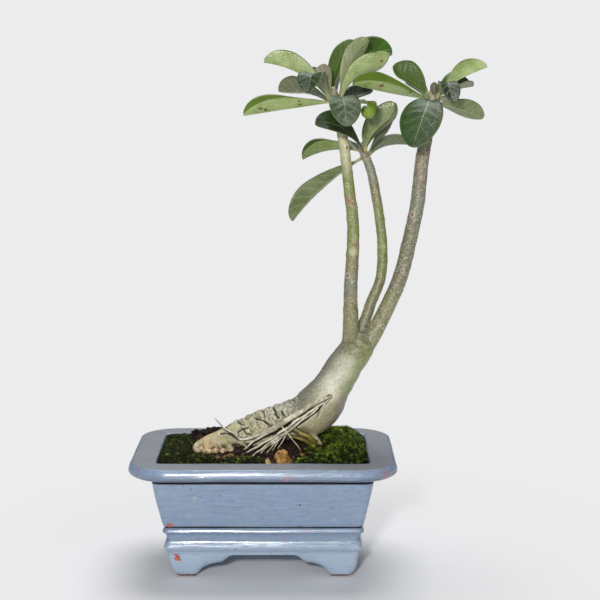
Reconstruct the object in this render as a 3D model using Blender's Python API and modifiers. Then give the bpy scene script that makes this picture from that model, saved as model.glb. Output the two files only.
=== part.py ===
# Desert rose bonsai: a young Adenium with a leaning caudex, three stems and large
# boat-shaped leaves, planted in a footed rectangular clay pot.
# Sizes are in millimetres in the tables and turned into metres by MM.
import math

import bmesh
import bpy
from mathutils import Matrix, Vector, noise

MM = 0.001
GAP = 0.3 * MM
ROOT_GAP = 0.45

# The box around pot and crown is centred on the origin, so the pot stands off centre.
POT_X = -40.4 * MM

# Pot. Every row of its outline is (inset from the rim's edge, height).
RIM_HALF_X = 125.0 * MM
RIM_HALF_Y = 83.0 * MM
RIM_CORNER = 38.0
INNER_CORNER = 5.0
CORNER_TAPER = 1.3
CORNER_STEPS = 6
POT_FLOOR = 31.0
POT_UNDERSIDE = 24.0
INSIDE_ROWS = ((45.5, POT_FLOOR), (41.0, 33.0), (38.2, 51.0), (27.3, 101.0), (27.0, 113.0))
RIM_ROWS = ((26.2, 114.3), (24.8, 114.5), (4.2, 114.5), (1.4, 113.5), (0.2, 111.3),
            (0.0, 108.2), (0.8, 104.8), (3.2, 102.0), (12.0, 100.6), (20.0, 99.6))
WALL_ROWS = ((21.2, 97.8), (26.2, 76.0), (31.4, 51.8), (32.7, 50.6), (31.6, 49.4),
             (31.0, 47.8), (31.6, 46.2), (32.6, 45.2), (34.4, 39.4), (35.8, 38.5),
             (34.6, 37.3), (33.6, 34.4), (34.2, 31.6), (35.4, 29.6))
FOOT_ROWS = ((36.4, 15.0), (38.4, 7.0), (42.0, 0.8), (43.4, 0.0), (50.5, 0.0),
             (46.0, 12.0), (44.5, POT_UNDERSIDE))
# Half outline of the cloud-shaped gap between two feet, (share of half width, height).
ARCH_OUTLINE = ((0.53, 22.4), (0.58, 20.4), (0.63, 16.0), (0.68, 13.4), (0.77, 11.4),
                (0.89, 8.4), (0.96, 4.0), (1.0, -1.0))
ARCH_FRONT_HALF = 64.0
ARCH_SIDE_HALF = 22.0
DRAIN_X = 42.0
DRAIN_RADIUS = 6.0
SCREEN_SIZE = 26.0
SCREEN_THICK = 1.1

# Fill.
GRAVEL_LOW = 33.0
GRAVEL_TOP = 41.0
SOIL_EDGE = 109.5
SOIL_MOUND = 11.0
MOUND_X, MOUND_REACH, MOUND_FADE = 10.0, 72.0, 9.0
MOUND_Y, MOUND_WIDTH = -6.0, 33.0
SOIL_RINGS = (1.0, 0.86, 0.7, 0.53, 0.36, 0.18)
BED_TOP = 140.0

# Trunk and roots, each row (x, y, z, radius), from the buried end up.
TRUNK_LINE = ((-66.0, -13.0, 113.0, 2.5), (-62.5, -12.5, 115.0, 7.6), (-54.0, -11.5, 117.0, 10.8),
              (-42.0, -10.0, 121.0, 12.4), (-27.6, -6.0, 126.0, 13.8), (-8.6, -3.0, 131.6, 16.2),
              (10.5, 0.0, 137.8, 18.0), (27.7, 3.0, 142.0, 18.8), (44.0, 5.0, 147.2, 22.4),
              (57.0, 5.0, 160.0, 21.2), (66.0, 4.0, 175.0, 18.4), (76.0, 3.0, 191.7, 16.8),
              (85.5, 2.5, 206.0, 16.0), (92.0, 2.5, 217.0, 13.6), (96.0, 3.0, 224.0, 8.0))
LEFT_STEM = ((77.5, 2.0, 198.0, 8.2), (81.6, 2.0, 214.0, 8.0), (82.4, -2.0, 239.0, 7.4),
             (81.9, -4.0, 263.0, 6.6), (82.8, -5.0, 287.0, 6.2), (84.0, -6.0, 311.0, 5.9),
             (83.6, -7.0, 334.0, 5.6), (80.6, -8.0, 357.5, 5.3), (77.8, -9.0, 381.0, 5.0),
             (74.9, -10.0, 404.0, 4.8), (70.2, -11.0, 428.0, 4.7), (66.2, -12.0, 446.0, 4.6),
             (64.6, -12.0, 453.0, 3.8), (63.9, -12.0, 457.0, 2.0))
MIDDLE_STEM = ((84.0, 5.0, 204.0, 6.6), (91.0, 8.0, 223.0, 6.0), (97.4, 12.0, 238.5, 5.4),
               (103.0, 15.0, 255.0, 5.2), (110.0, 18.0, 271.0, 5.1), (112.7, 20.0, 285.5, 5.0),
               (113.1, 21.0, 303.0, 4.9), (111.5, 22.0, 322.0, 4.8), (108.5, 22.0, 343.0, 4.7),
               (104.5, 22.0, 365.0, 4.5), (100.6, 21.0, 381.0, 4.3), (94.4, 20.0, 395.0, 4.1),
               (91.6, 20.0, 402.0, 3.2), (90.6, 20.0, 405.0, 1.8))
RIGHT_STEM = ((86.0, 2.0, 200.0, 9.6), (98.0, 2.0, 215.0, 8.6), (108.4, 3.0, 233.0, 7.8),
              (118.7, 4.0, 254.0, 7.4), (127.0, 4.0, 273.0, 7.2), (132.5, 4.0, 291.0, 7.0),
              (136.0, 4.0, 307.0, 6.9), (140.5, 4.0, 328.0, 6.8), (144.0, 3.0, 347.0, 6.7),
              (146.4, 2.0, 371.0, 6.5), (148.0, 0.0, 389.0, 6.4), (151.9, -2.0, 417.0, 6.2),
              (156.2, -4.0, 444.0, 5.6), (157.6, -4.0, 452.0, 4.4), (158.4, -4.0, 457.0, 2.2))
# Thick roots under the caudex that anchor it in the soil, two of them in sight in front.
ANCHOR_ROOTS = (((44.0, 12.0, 132.0, 8.5), (48.0, 16.0, 114.0, 7.0), (54.0, 20.0, 96.0, 4.6),
                 (58.0, 23.0, 82.0, 2.6)),
                ((18.0, -4.0, 135.0, 5.0), (26.0, -10.0, 133.0, 4.2), (36.5, -11.5, 128.0, 3.9),
                 (46.5, -11.0, 120.5, 3.6), (56.0, -10.0, 110.0, 2.4)),
                ((30.0, -8.0, 135.0, 4.0), (40.0, -8.0, 131.5, 3.4), (49.0, -7.0, 125.0, 3.2),
                 (58.0, -6.0, 112.0, 2.4)),
                ((-20.0, -3.0, 124.0, 8.0), (-26.0, 6.0, 106.0, 5.5), (-32.0, 14.0, 88.0, 3.4),
                 (-36.0, 18.0, 76.0, 1.6)))
# Thin aerial roots that run down the front of the caudex and into the soil.
STRANDS = (((64.0, -14.6, 168.0, 1.6), (40.0, -14.5, 156.0, 2.0), (18.5, -16.0, 142.0, 1.9),
            (-1.5, -18.5, 132.5, 1.8), (-18.0, -19.0, 127.5, 1.6), (-29.0, -18.0, 133.5, 1.4),
            (-37.0, -17.0, 138.0, 1.1), (-46.0, -17.0, 148.0, 0.8)),
           ((64.0, -14.6, 166.0, 1.5), (40.0, -15.5, 154.0, 1.7), (25.0, -17.5, 144.0, 1.6),
            (10.0, -19.5, 135.5, 1.5), (-5.0, -21.0, 128.0, 1.4), (-24.0, -23.0, 115.0, 1.2)),
           ((62.5, -15.2, 164.0, 1.4), (45.0, -17.5, 156.0, 1.6), (21.0, -20.0, 138.5, 1.5),
            (6.0, -22.5, 128.0, 1.3), (-21.0, -27.0, 113.0, 1.0)),
           ((60.5, -15.0, 163.0, 1.3), (44.0, -18.5, 153.5, 1.5), (30.0, -20.0, 144.0, 1.5),
            (19.5, -23.5, 136.0, 1.3), (4.0, -31.0, 126.0, 1.2), (-18.0, -39.0, 109.0, 0.9)),
           ((40.0, -17.0, 150.5, 1.3), (27.0, -20.5, 139.5, 1.3), (15.5, -25.0, 131.5, 1.1),
            (4.0, -28.0, 123.0, 1.0), (-9.0, -32.0, 111.0, 0.8)),
           ((36.5, -17.0, 146.5, 1.2), (25.0, -21.0, 137.0, 1.1), (13.5, -25.5, 128.0, 1.1),
            (-2.0, -31.0, 111.0, 0.8)),
           ((32.5, -16.5, 143.0, 1.0), (23.0, -20.0, 135.5, 1.1), (14.5, -22.0, 126.5, 1.0),
            (4.5, -25.0, 112.0, 0.8)),
           ((34.5, -14.0, 144.0, 1.0), (21.0, -20.0, 132.0, 1.0), (15.0, -20.0, 122.0, 0.9),
            (11.0, -20.0, 112.0, 0.7)),
           ((10.0, -13.0, 145.0, 1.1), (16.5, -20.0, 140.0, 1.1), (27.0, -24.0, 129.0, 1.0),
            (39.0, -21.0, 113.0, 0.8)),
           ((64.5, -13.5, 167.0, 1.3), (58.0, -16.4, 160.5, 1.2), (50.0, -17.5, 148.5, 0.7)),
           ((3.0, -6.0, 152.5, 1.2), (8.0, -13.0, 149.5, 1.2), (15.5, -16.5, 142.0, 1.2)))
# Points between two rows and sides all round.
TRUNK_STEPS, TRUNK_SIDES = 2, 16
STEM_STEPS, STEM_SIDES = 1, 10
ROOT_STEPS, ROOT_SIDES = 2, 12
STRAND_STEPS, STRAND_SIDES = 2, 6
BARK_WAVE = 1.6 * MM
BARK_SCALE = 40.0

# Leaves: name, stem, drop below the stem's top, middle and tip of the midrib, width,
# roll at the base, roll at the tip, fold of each half, curl of the tip. Angles in degrees.
LEAVES = (
    ("leaf_a01", "left", 5, (34, -9, 469), (1, -10, 479), 31, -30, -36, 44, 0),
    ("leaf_a02", "left", 11, (40, 20, 451), (14, 32, 450), 33, -34, -34, 30, 10),
    ("leaf_a03", "left", 8, (47, -42, 468), (44, -57, 449), 25, 0, 0, 12, 20),
    ("leaf_a04", "left", 2, (58, -22, 463), (54, -26, 477), 17, -50, -60, 20, 0),
    ("leaf_a05", "left", 9, (22, -22, 437), (-17, -27, 431), 35, -12, 20, 50, 0),
    ("leaf_a06", "left", 12, (73, -44, 446), (75, -63, 419), 29, 0, 0, 12, 15),
    ("leaf_a07", "left", 2, (69, 3, 476), (83, 14, 500), 21, 0, 10, 22, 0),
    ("leaf_a08", "left", 2, (77, -12, 478), (94, -9, 500), 23, 60, 60, 16, 0),
    ("leaf_a09", "left", 7, (90, -21, 470), (120, -18, 472), 29, 38, 48, 34, 48),
    ("leaf_a10", "left", 7, (93, 16, 482), (121, 28, 487), 34, -30, -45, 24, 0),
    ("leaf_a11", "left", 10, (90, -27, 445), (113, -42, 441), 25, 4, 8, 16, -130),
    ("leaf_a12", "left", 8, (62, 26, 468), (52, 50, 462), 28, 0, 0, 24, 20),
    ("leaf_a13", "left", 13, (84, 14, 446), (103, 24, 452), 26, -20, -20, 30, 10),
    ("leaf_b01", "middle", 3, (62, 14, 398), (37, 15, 389), 31, -12, 14, 48, 0),
    ("leaf_b02", "middle", 11, (54, 18, 362), (27, 12, 331), 32, -50, -40, 30, 0),
    ("leaf_b03", "middle", 3, (74, -34, 419), (48, -42, 426), 27, 66, 56, 20, 0),
    ("leaf_b04", "middle", 2, (105, 11, 417), (131, 2, 435), 31, 35, 40, 30, 30),
    ("leaf_b05", "middle", 6, (112, 36, 408), (124, 48, 422), 30, 55, 60, 22, 10),
    ("leaf_b06", "middle", 7, (117, 22, 402), (142, 26, 402), 28, -5, 0, 40, 0),
    ("leaf_b07", "middle", 10, (90, 48, 402), (92, 70, 392), 27, 0, 0, 24, 20),
    ("leaf_c01", "right", 9, (148, -32, 437), (135, -54, 402), 39, 6, 10, 12, 5),
    ("leaf_c02", "right", 6, (119, -25, 451), (81, -40, 459), 36, 20, 24, 46, 0),
    ("leaf_c03", "right", 3, (138, 4, 461), (118, 8, 473), 33, 16, 22, 46, 20),
    ("leaf_c04", "right", 7, (146, 20, 453), (138, 38, 458), 20, 0, 0, 22, 20),
    ("leaf_c05", "right", 4, (176, -8, 461), (206, -10, 477), 31, -34, 40, 44, 0),
    ("leaf_c06", "right", 6, (176, 16, 453), (197, 28, 457), 31, -20, -16, 45, 0),
    ("leaf_c07", "right", 5, (167, -26, 460), (170, -43, 440), 20, 0, 0, 14, 15),
    ("leaf_c08", "right", 11, (180, 2, 437), (205, 4, 428), 24, 42, 46, 22, 0),
    ("leaf_c09", "right", 2, (157, -12, 453), (157, -15, 461), 8, 0, 0, 24, 0),
    ("leaf_c10", "right", 10, (168, 26, 446), (176, 50, 436), 28, 0, 0, 24, 20))
LEAF_ROWS = 9
LEAF_COLUMNS = 4
LEAF_END = 0.994
PETIOLE_WIDTH = 3.4
PETIOLE_THICK = 1.8
STALK_GAP = 0.45
BLADE_THICK = 0.9
CURL_START = 0.72

# Moss cushions and stones: name, centre x, y, half sizes x, y, height over the soil.
MOSS = (("moss_right", 71.0, -8.0, 34.0, 55.0, 10.0),
        ("moss_back", 6.0, 43.0, 46.0, 11.0, 7.0),
        ("moss_left", -85.0, 0.0, 19.0, 52.0, 7.5),
        ("moss_front_left", -46.0, -47.0, 19.0, 8.0, 5.0))
STONES = (("stone_ochre", 18.0, -42.5, 8.0, 6.5, 11.0),
          ("stone_chip", 5.0, -49.0, 5.0, 4.0, 8.0))
# Subdivisions and height of the bumps.
MOSS_DETAIL, MOSS_BUMP = 3, 2.0
STONE_DETAIL, STONE_BUMP = 2, 1.0
CUSHION_SCALE = 90.0

PAINT = (0.25, 0.33, 0.45)
SKIN = (0.30, 0.29, 0.20)
LEAF_GREEN = (0.12, 0.24, 0.06)
MOSS_GREEN = (0.07, 0.15, 0.02)
EARTH = (0.045, 0.028, 0.02)
GRAVEL_GREY = (0.24, 0.21, 0.18)
OCHRE = (0.48, 0.32, 0.12)
MESH_GREEN = (0.05, 0.12, 0.08)


def make_collection(name):
    collection = bpy.data.collections.new(name)
    bpy.context.scene.collection.children.link(collection)
    return collection


def make_material(name, color, roughness):
    material = bpy.data.materials.new(name)
    material.use_nodes = True
    shader = material.node_tree.nodes["Principled BSDF"]
    shader.inputs["Base Color"].default_value = (*color, 1.0)
    shader.inputs["Roughness"].default_value = roughness
    shader.inputs["Metallic"].default_value = 0.0
    return material


def add_object(name, mesh, collection):
    thing = bpy.data.objects.new(name, mesh)
    collection.objects.link(thing)
    return thing


def mesh_object(name, shape, collection):
    """Turns a bmesh into an object with its faces pointing out."""
    bmesh.ops.recalc_face_normals(shape, faces=shape.faces)
    mesh = bpy.data.meshes.new(name)
    shape.to_mesh(mesh)
    shape.free()
    return add_object(name, mesh, collection)


def finish(thing, material, sharp=50.0):
    thing.data.materials.clear()
    thing.data.materials.append(material)
    thing.data.shade_smooth()
    thing.data.set_sharp_from_angle(angle=math.radians(sharp))
    thing.parent = bpy.data.objects["bonsai"]


def apply_modifiers(thing):
    """Swaps the object's mesh for the one its modifiers make."""
    graph = bpy.context.evaluated_depsgraph_get()
    mesh = bpy.data.meshes.new_from_object(thing.evaluated_get(graph))
    thing.modifiers.clear()
    thing.data = mesh


def cut(thing, cutter, operation="DIFFERENCE"):
    modifier = thing.modifiers.new(cutter.name, "BOOLEAN")
    modifier.object = cutter
    modifier.operation = operation
    modifier.solver = "EXACT"


def make_cutter(thing):
    """Moves a helper shape out of sight of a render."""
    thing.hide_render = True
    thing.display_type = "WIRE"
    thing.parent = bpy.data.objects["bonsai"]
    return thing


def smooth_line(points, steps):
    """Catmull-Rom curve through rows of numbers, with steps points for each stretch."""
    rows = [Vector(row) for row in points]
    rows = [rows[0] * 2 - rows[1]] + rows + [rows[-1] * 2 - rows[-2]]
    line = []
    for before, start, end, after in zip(rows, rows[1:], rows[2:], rows[3:]):
        for step in range(steps):
            t = step / steps
            line.append(0.5 * (2 * start + (end - before) * t
                               + (2 * before - 5 * start + 4 * end - after) * t * t
                               + (3 * start - before - 3 * end + after) * t ** 3))
    line.append(rows[-2])
    return line


def tube(name, points, steps, sides, grow, collection):
    """Round tube with its own radius at each point, as a closed mesh."""
    curve = bpy.data.curves.new(name, "CURVE")
    curve.dimensions = "3D"
    curve.bevel_depth = MM
    curve.bevel_resolution = (sides - 4) // 2
    curve.use_fill_caps = True
    line = smooth_line(points, steps)
    for end, inner in ((0, 1), (-1, -2)):
        line[end] = line[end] + (line[end] - line[inner]).normalized() * grow
    spline = curve.splines.new("POLY")
    spline.points.add(len(line) - 1)
    for point, row in zip(spline.points, line):
        point.co = (row[0] * MM, row[1] * MM, row[2] * MM, 1.0)
        point.radius = max(row[3], 0.6) + grow
    guide = add_object(name + "_line", curve, collection)
    graph = bpy.context.evaluated_depsgraph_get()
    mesh = bpy.data.meshes.new_from_object(guide.evaluated_get(graph))
    bpy.data.objects.remove(guide)
    shape = bmesh.new()
    shape.from_mesh(mesh)
    bmesh.ops.remove_doubles(shape, verts=shape.verts, dist=0.01 * MM)
    return mesh_object(name, shape, collection)


def roughen(thing, amount, scale):
    """Pushes the points of a shape in and out by smooth noise."""
    mesh = thing.data
    normals = [vertex.normal.copy() for vertex in mesh.vertices]
    for vertex, normal in zip(mesh.vertices, normals):
        vertex.co += normal * amount * noise.noise(vertex.co * scale)


def trunk_solid(name, grow, collection):
    """Caudex, stems, anchor roots and strands joined in one body, grown all round by grow."""
    extras = make_collection(name + "_joined")
    body = tube(name, TRUNK_LINE, TRUNK_STEPS, TRUNK_SIDES, grow, collection)
    roughen(body, BARK_WAVE, BARK_SCALE)
    for stem in (LEFT_STEM, MIDDLE_STEM, RIGHT_STEM):
        tube("stem", stem, STEM_STEPS, STEM_SIDES, grow, extras)
    for root in ANCHOR_ROOTS:
        tube("root", root, ROOT_STEPS, ROOT_SIDES, grow, extras)
    for strand in STRANDS:
        tube("strand", strand, STRAND_STEPS, STRAND_SIDES, grow, extras)
    join = body.modifiers.new("join", "BOOLEAN")
    join.operation = "UNION"
    join.operand_type = "COLLECTION"
    join.collection = extras
    join.solver = "EXACT"
    apply_modifiers(body)
    for piece in list(extras.objects):
        bpy.data.objects.remove(piece)
    bpy.data.collections.remove(extras)
    return body


def add_ring(shape, inset, height, share=1.0):
    """A rectangle with round corners, inset from the pot's rim and shrunk by share."""
    corner = max(RIM_CORNER - CORNER_TAPER * inset, INNER_CORNER) * MM * share
    half_x = (RIM_HALF_X - inset * MM) * share
    half_y = (RIM_HALF_Y - inset * MM) * share
    ring = []
    for side_x, side_y, start in ((1, 1, 0), (-1, 1, 90), (-1, -1, 180), (1, -1, 270)):
        for step in range(CORNER_STEPS + 1):
            angle = math.radians(start + 90 * step / CORNER_STEPS)
            x = side_x * (half_x - corner) + corner * math.cos(angle)
            y = side_y * (half_y - corner) + corner * math.sin(angle)
            ring.append(shape.verts.new((x, y, height(x, y) if callable(height) else height * MM)))
    return ring


def join_rings(shape, rings):
    """Walls between each ring and the next."""
    for low, high in zip(rings, rings[1:]):
        count = len(low)
        for i in range(count):
            j = (i + 1) % count
            shape.faces.new((low[i], low[j], high[j], high[i]))


def wall_inset(height):
    """Inset of the pot's inner wall at a height in millimetres."""
    for (low_inset, low), (high_inset, high) in zip(INSIDE_ROWS, INSIDE_ROWS[1:]):
        if height <= high:
            return low_inset + (high_inset - low_inset) * (height - low) / (high - low)
    return INSIDE_ROWS[-1][0]


def soil_height(x, y):
    """Top of the soil: level at the walls, heaped along the caudex."""
    ridge = math.exp(-((y / MM - MOUND_Y) / MOUND_WIDTH) ** 2)
    run = 1.0 / (1.0 + math.exp((abs(x / MM - MOUND_X) - MOUND_REACH) / MOUND_FADE))
    return (SOIL_EDGE + SOIL_MOUND * ridge * run) * MM


def make_pot(parts, cutters):
    """Pot as one loft, with the gaps between its feet and two drain holes cut out."""
    shape = bmesh.new()
    rows = INSIDE_ROWS + RIM_ROWS + WALL_ROWS + FOOT_ROWS
    rings = [add_ring(shape, inset, height) for inset, height in rows]
    join_rings(shape, rings)
    shape.faces.new(rings[0])
    shape.faces.new(rings[-1])
    pot = mesh_object("pot", shape, parts)
    cut(pot, arch_cutter("arch_front", ARCH_FRONT_HALF, 0.0, cutters))
    cut(pot, arch_cutter("arch_side", ARCH_SIDE_HALF, 90.0, cutters))
    for side, x in (("left", -DRAIN_X), ("right", DRAIN_X)):
        middle = (POT_FLOOR + POT_UNDERSIDE) / 2 * MM
        bpy.ops.mesh.primitive_cylinder_add(vertices=16, radius=DRAIN_RADIUS * MM,
                                            depth=3 * (POT_FLOOR - POT_UNDERSIDE) * MM,
                                            location=(x * MM, 0, middle))
        drill = bpy.context.object
        drill.name = "drill_" + side
        for owner in list(drill.users_collection):
            owner.objects.unlink(drill)
        cutters.objects.link(drill)
        cut(pot, make_cutter(drill))
    return pot


def arch_cutter(name, half_width, turn, cutters):
    """Long bar with the outline of the gap between two feet."""
    reach = 2 * RIM_HALF_X
    half = [(share * half_width * MM, height * MM) for share, height in ARCH_OUTLINE]
    outline = half[::-1] + [(-x, z) for x, z in half]
    shape = bmesh.new()
    face = shape.faces.new([shape.verts.new((x, -reach / 2, z)) for x, z in outline])
    grown = bmesh.ops.extrude_face_region(shape, geom=[face])["geom"]
    moved = [item for item in grown if isinstance(item, bmesh.types.BMVert)]
    bmesh.ops.translate(shape, verts=moved, vec=(0, reach, 0))
    bar = mesh_object(name, shape, cutters)
    bar.rotation_euler.z = math.radians(turn)
    return make_cutter(bar)


def make_screen(name, x, parts):
    """Square of drain mesh that lies over a hole in the pot's floor."""
    shape = bmesh.new()
    bmesh.ops.create_grid(shape, x_segments=5, y_segments=5, size=SCREEN_SIZE / 2 * MM)
    screen = mesh_object(name, shape, parts)
    screen.location = (x * MM, 0, POT_FLOOR * MM + GAP + SCREEN_THICK / 2 * MM)
    wires = screen.modifiers.new("wires", "WIREFRAME")
    wires.thickness = SCREEN_THICK * MM
    wires.use_boundary = True
    wires.use_even_offset = False
    return screen


def make_layer(name, low, high, parts):
    """Level fill between two heights that follows the pot's inner wall."""
    shape = bmesh.new()
    gap = GAP / MM
    rings = [add_ring(shape, wall_inset(height) + gap, height) for height in (low, high)]
    join_rings(shape, rings)
    shape.faces.new(rings[0])
    shape.faces.new(rings[-1])
    return mesh_object(name, shape, parts)


def add_soil_top(shape, lift):
    """Rings over the heaped surface, from the wall to the middle, closed by a fan."""
    inset = wall_inset(SOIL_EDGE) + GAP / MM
    rings = [add_ring(shape, inset, lambda x, y: soil_height(x, y) + lift, share)
             for share in SOIL_RINGS]
    join_rings(shape, rings)
    # Fixed diagonals, so moss and stones are cut to the same triangles as the soil.
    bmesh.ops.triangulate(shape, faces=shape.faces[:], quad_method="FIXED")
    middle = shape.verts.new((0, 0, soil_height(0, 0) + lift))
    last = rings[-1]
    for i, corner in enumerate(last):
        shape.faces.new((corner, last[(i + 1) % len(last)], middle))
    return rings[0]


def make_soil(parts):
    shape = bmesh.new()
    gap = GAP / MM
    low = GRAVEL_TOP + gap
    rings = [add_ring(shape, wall_inset(height) + gap, height) for height in (low, 51.0, 101.0)]
    join_rings(shape, rings + [add_soil_top(shape, 0.0)])
    shape.faces.new(rings[0])
    return mesh_object("soil", shape, parts)


def make_bed(cutters):
    """Space over the soil and inside the rim, where moss and stones can lie."""
    shape = bmesh.new()
    top = add_ring(shape, wall_inset(SOIL_EDGE) + GAP / MM, BED_TOP)
    join_rings(shape, [add_soil_top(shape, GAP), top])
    shape.faces.new(top)
    return make_cutter(mesh_object("bed", shape, cutters))


def make_cushion(row, detail, bump, parts, bed, trunk_cutter):
    """Low mound that is trimmed to the soil under it and cleared round the caudex."""
    name, x, y, half_x, half_y, height = row
    shape = bmesh.new()
    bmesh.ops.create_icosphere(shape, subdivisions=detail, radius=MM)
    mound = mesh_object(name, shape, parts)
    mound.data.transform(Matrix.Diagonal((half_x, half_y, height, 1.0)))
    mound.data.transform(Matrix.Translation((x * MM, y * MM, soil_height(x * MM, y * MM))))
    roughen(mound, bump * MM, CUSHION_SCALE)
    cut(mound, bed, "INTERSECT")
    cut(mound, trunk_cutter)
    return mound


def stem_place(stem, drop):
    """Point on a stem's middle line at a height below its top, and the radius there."""
    line = smooth_line({"left": LEFT_STEM, "middle": MIDDLE_STEM, "right": RIGHT_STEM}[stem], 8)
    height = line[-1][2] - 5.0 - drop
    for low, high in zip(line, line[1:]):
        if high[2] >= height:
            share = (height - low[2]) / (high[2] - low[2])
            row = low.lerp(high, share)
            return Vector(row[:3]), row[3]
    return Vector(line[-1][:3]), line[-1][3]


def leaf_width(along):
    """Half width of a leaf from base to tip, as a share of its widest."""
    return math.sin(math.pi * along ** 1.9) ** 0.54


def bend_leaf(row):
    """Returns a function that maps along 0 to 1 and across -1 to 1 onto the leaf."""
    name, stem, drop, middle, tip, width, roll, tip_roll, fold, curl = row
    start, radius = stem_place(stem, drop)
    middle, tip = Vector(middle), Vector(tip)
    side = Vector((tip.y - start.y, start.x - tip.x, 0)).normalized()
    fold = math.radians(fold)

    def cross_section(forward, along):
        """Directions across the blade and out of its upper face."""
        lateral = (side - forward * side.dot(forward)).normalized()
        up = lateral.cross(forward)
        angle = math.radians(roll + (tip_roll - roll) * along)
        return (lateral * math.cos(angle) + up * math.sin(angle),
                up * math.cos(angle) - lateral * math.sin(angle))

    leaving = (middle * 2 - tip / 2 - start * 1.5).normalized()
    lateral, up = cross_section(leaving, 0)
    outward = Vector((leaving.x, leaving.y, 0)).normalized()
    reach = (abs(lateral.dot(outward)) * PETIOLE_WIDTH + abs(up.dot(outward)) * PETIOLE_THICK) / 2
    base = start + outward * (radius + STALK_GAP + reach)
    handle = middle * 2 - (base + tip) / 2

    def spine(t):
        return base * (1 - t) ** 2 + handle * 2 * t * (1 - t) + tip * t * t

    def tangent(t):
        return ((handle - base) * (1 - t) + (tip - handle) * t).normalized()

    def place(along, across):
        point, forward = spine(along), tangent(along)
        if along > CURL_START and curl:
            pivot = spine(CURL_START)
            turn = Matrix.Rotation(math.radians(curl) * (along - CURL_START) / (1 - CURL_START),
                                   3, side)
            point = pivot + turn @ (point - pivot)
            forward = turn @ forward
        lateral, up = cross_section(forward, along)
        half = max(width / 2 * leaf_width(along), PETIOLE_WIDTH / 2 * (1 - along))
        lift = half * abs(across) ** 1.25 * math.sin(fold)
        return (point + lateral * (half * across * math.cos(fold)) + up * lift) * MM

    return place


def make_leaf(row, parts):
    """One folded, arching blade with a thicker stalk."""
    place = bend_leaf(row)
    shape = bmesh.new()
    bmesh.ops.create_grid(shape, x_segments=LEAF_ROWS, y_segments=LEAF_COLUMNS, size=1.0)
    along = {}
    for vertex in shape.verts:
        share = (vertex.co.x + 1) / 2
        reach = LEAF_END * (1 - (1 - share) ** 1.25)
        along[vertex.index] = reach
        vertex.co = place(reach, vertex.co.y)
    bmesh.ops.triangulate(shape, faces=shape.faces)
    mesh = bpy.data.meshes.new(row[0])
    shape.to_mesh(mesh)
    shape.free()
    leaf = add_object(row[0], mesh, parts)
    group = leaf.vertex_groups.new(name="stalk")
    for index, reach in along.items():
        group.add([index], max(0.0, 1 - reach / 0.3), "REPLACE")
    blade = leaf.modifiers.new("blade", "SOLIDIFY")
    blade.thickness = PETIOLE_THICK * MM
    blade.offset = 0.0
    blade.vertex_group = "stalk"
    blade.thickness_vertex_group = BLADE_THICK / PETIOLE_THICK
    return leaf


def build():
    for thing in list(bpy.data.objects):
        bpy.data.objects.remove(thing)
    parts = make_collection("desert_rose_bonsai")
    cutters = make_collection("cutters")
    root = add_object("bonsai", None, parts)

    paint = make_material("pot_paint", PAINT, 0.35)
    skin = make_material("bark", SKIN, 0.6)
    green = make_material("leaf_green", LEAF_GREEN, 0.4)
    moss_green = make_material("moss_green", MOSS_GREEN, 0.95)
    earth = make_material("earth", EARTH, 0.95)
    gravel = make_material("gravel_grey", GRAVEL_GREY, 0.9)
    ochre = make_material("ochre_stone", OCHRE, 0.8)
    netting = make_material("netting", MESH_GREEN, 0.5)

    finish(make_pot(parts, cutters), paint, 35.0)
    for side, x in (("left", -DRAIN_X), ("right", DRAIN_X)):
        finish(make_screen("drain_screen_" + side, x, parts), netting)
    finish(make_layer("drainage_gravel", GRAVEL_LOW, GRAVEL_TOP, parts), gravel)

    trunk = trunk_solid("trunk", 0.0, parts)
    finish(trunk, skin)
    trunk_cutter = make_cutter(trunk_solid("trunk_space", ROOT_GAP, cutters))
    bed = make_bed(cutters)
    soil = make_soil(parts)
    cut(soil, trunk_cutter)
    finish(soil, earth)
    for row in MOSS:
        finish(make_cushion(row, MOSS_DETAIL, MOSS_BUMP, parts, bed, trunk_cutter), moss_green)
    for row in STONES:
        finish(make_cushion(row, STONE_DETAIL, STONE_BUMP, parts, bed, trunk_cutter), ochre)
    for row in LEAVES:
        finish(make_leaf(row, parts), green, 60.0)
    root.location = (POT_X, 0.0, 0.0)


build()
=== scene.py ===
# Desert rose bonsai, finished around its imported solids. Shapes are worked out in millimetres
# from the middle of the pot, on the plane that its feet stand on, and put in place at the end.
import math
import random

import bmesh
import bpy
from mathutils import Matrix, Vector, noise
from mathutils.bvhtree import BVHTree
from mathutils.kdtree import KDTree


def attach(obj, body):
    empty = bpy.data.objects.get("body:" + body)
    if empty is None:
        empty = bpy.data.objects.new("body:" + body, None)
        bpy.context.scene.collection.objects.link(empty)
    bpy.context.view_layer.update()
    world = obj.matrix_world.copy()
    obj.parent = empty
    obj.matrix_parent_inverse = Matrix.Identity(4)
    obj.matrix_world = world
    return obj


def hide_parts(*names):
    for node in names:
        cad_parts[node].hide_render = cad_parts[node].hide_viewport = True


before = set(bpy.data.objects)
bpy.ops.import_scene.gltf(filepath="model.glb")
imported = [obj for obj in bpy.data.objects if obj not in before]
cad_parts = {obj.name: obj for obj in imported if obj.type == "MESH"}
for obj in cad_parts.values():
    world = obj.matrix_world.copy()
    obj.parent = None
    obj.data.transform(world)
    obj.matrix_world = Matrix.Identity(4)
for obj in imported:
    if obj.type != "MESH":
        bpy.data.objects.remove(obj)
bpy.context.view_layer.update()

print("frame loaded,", len(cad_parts), "nodes")

mm = 0.001
potPlace = Vector((-0.0404, 0.0, 0.0))  # the pot's middle in the shared frame
inPlace = Matrix.Translation(potPlace) @ Matrix.Scale(mm, 4)
scene = bpy.context.scene
noise.seed_set(4)  # without it the noise vectors follow the clock

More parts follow.
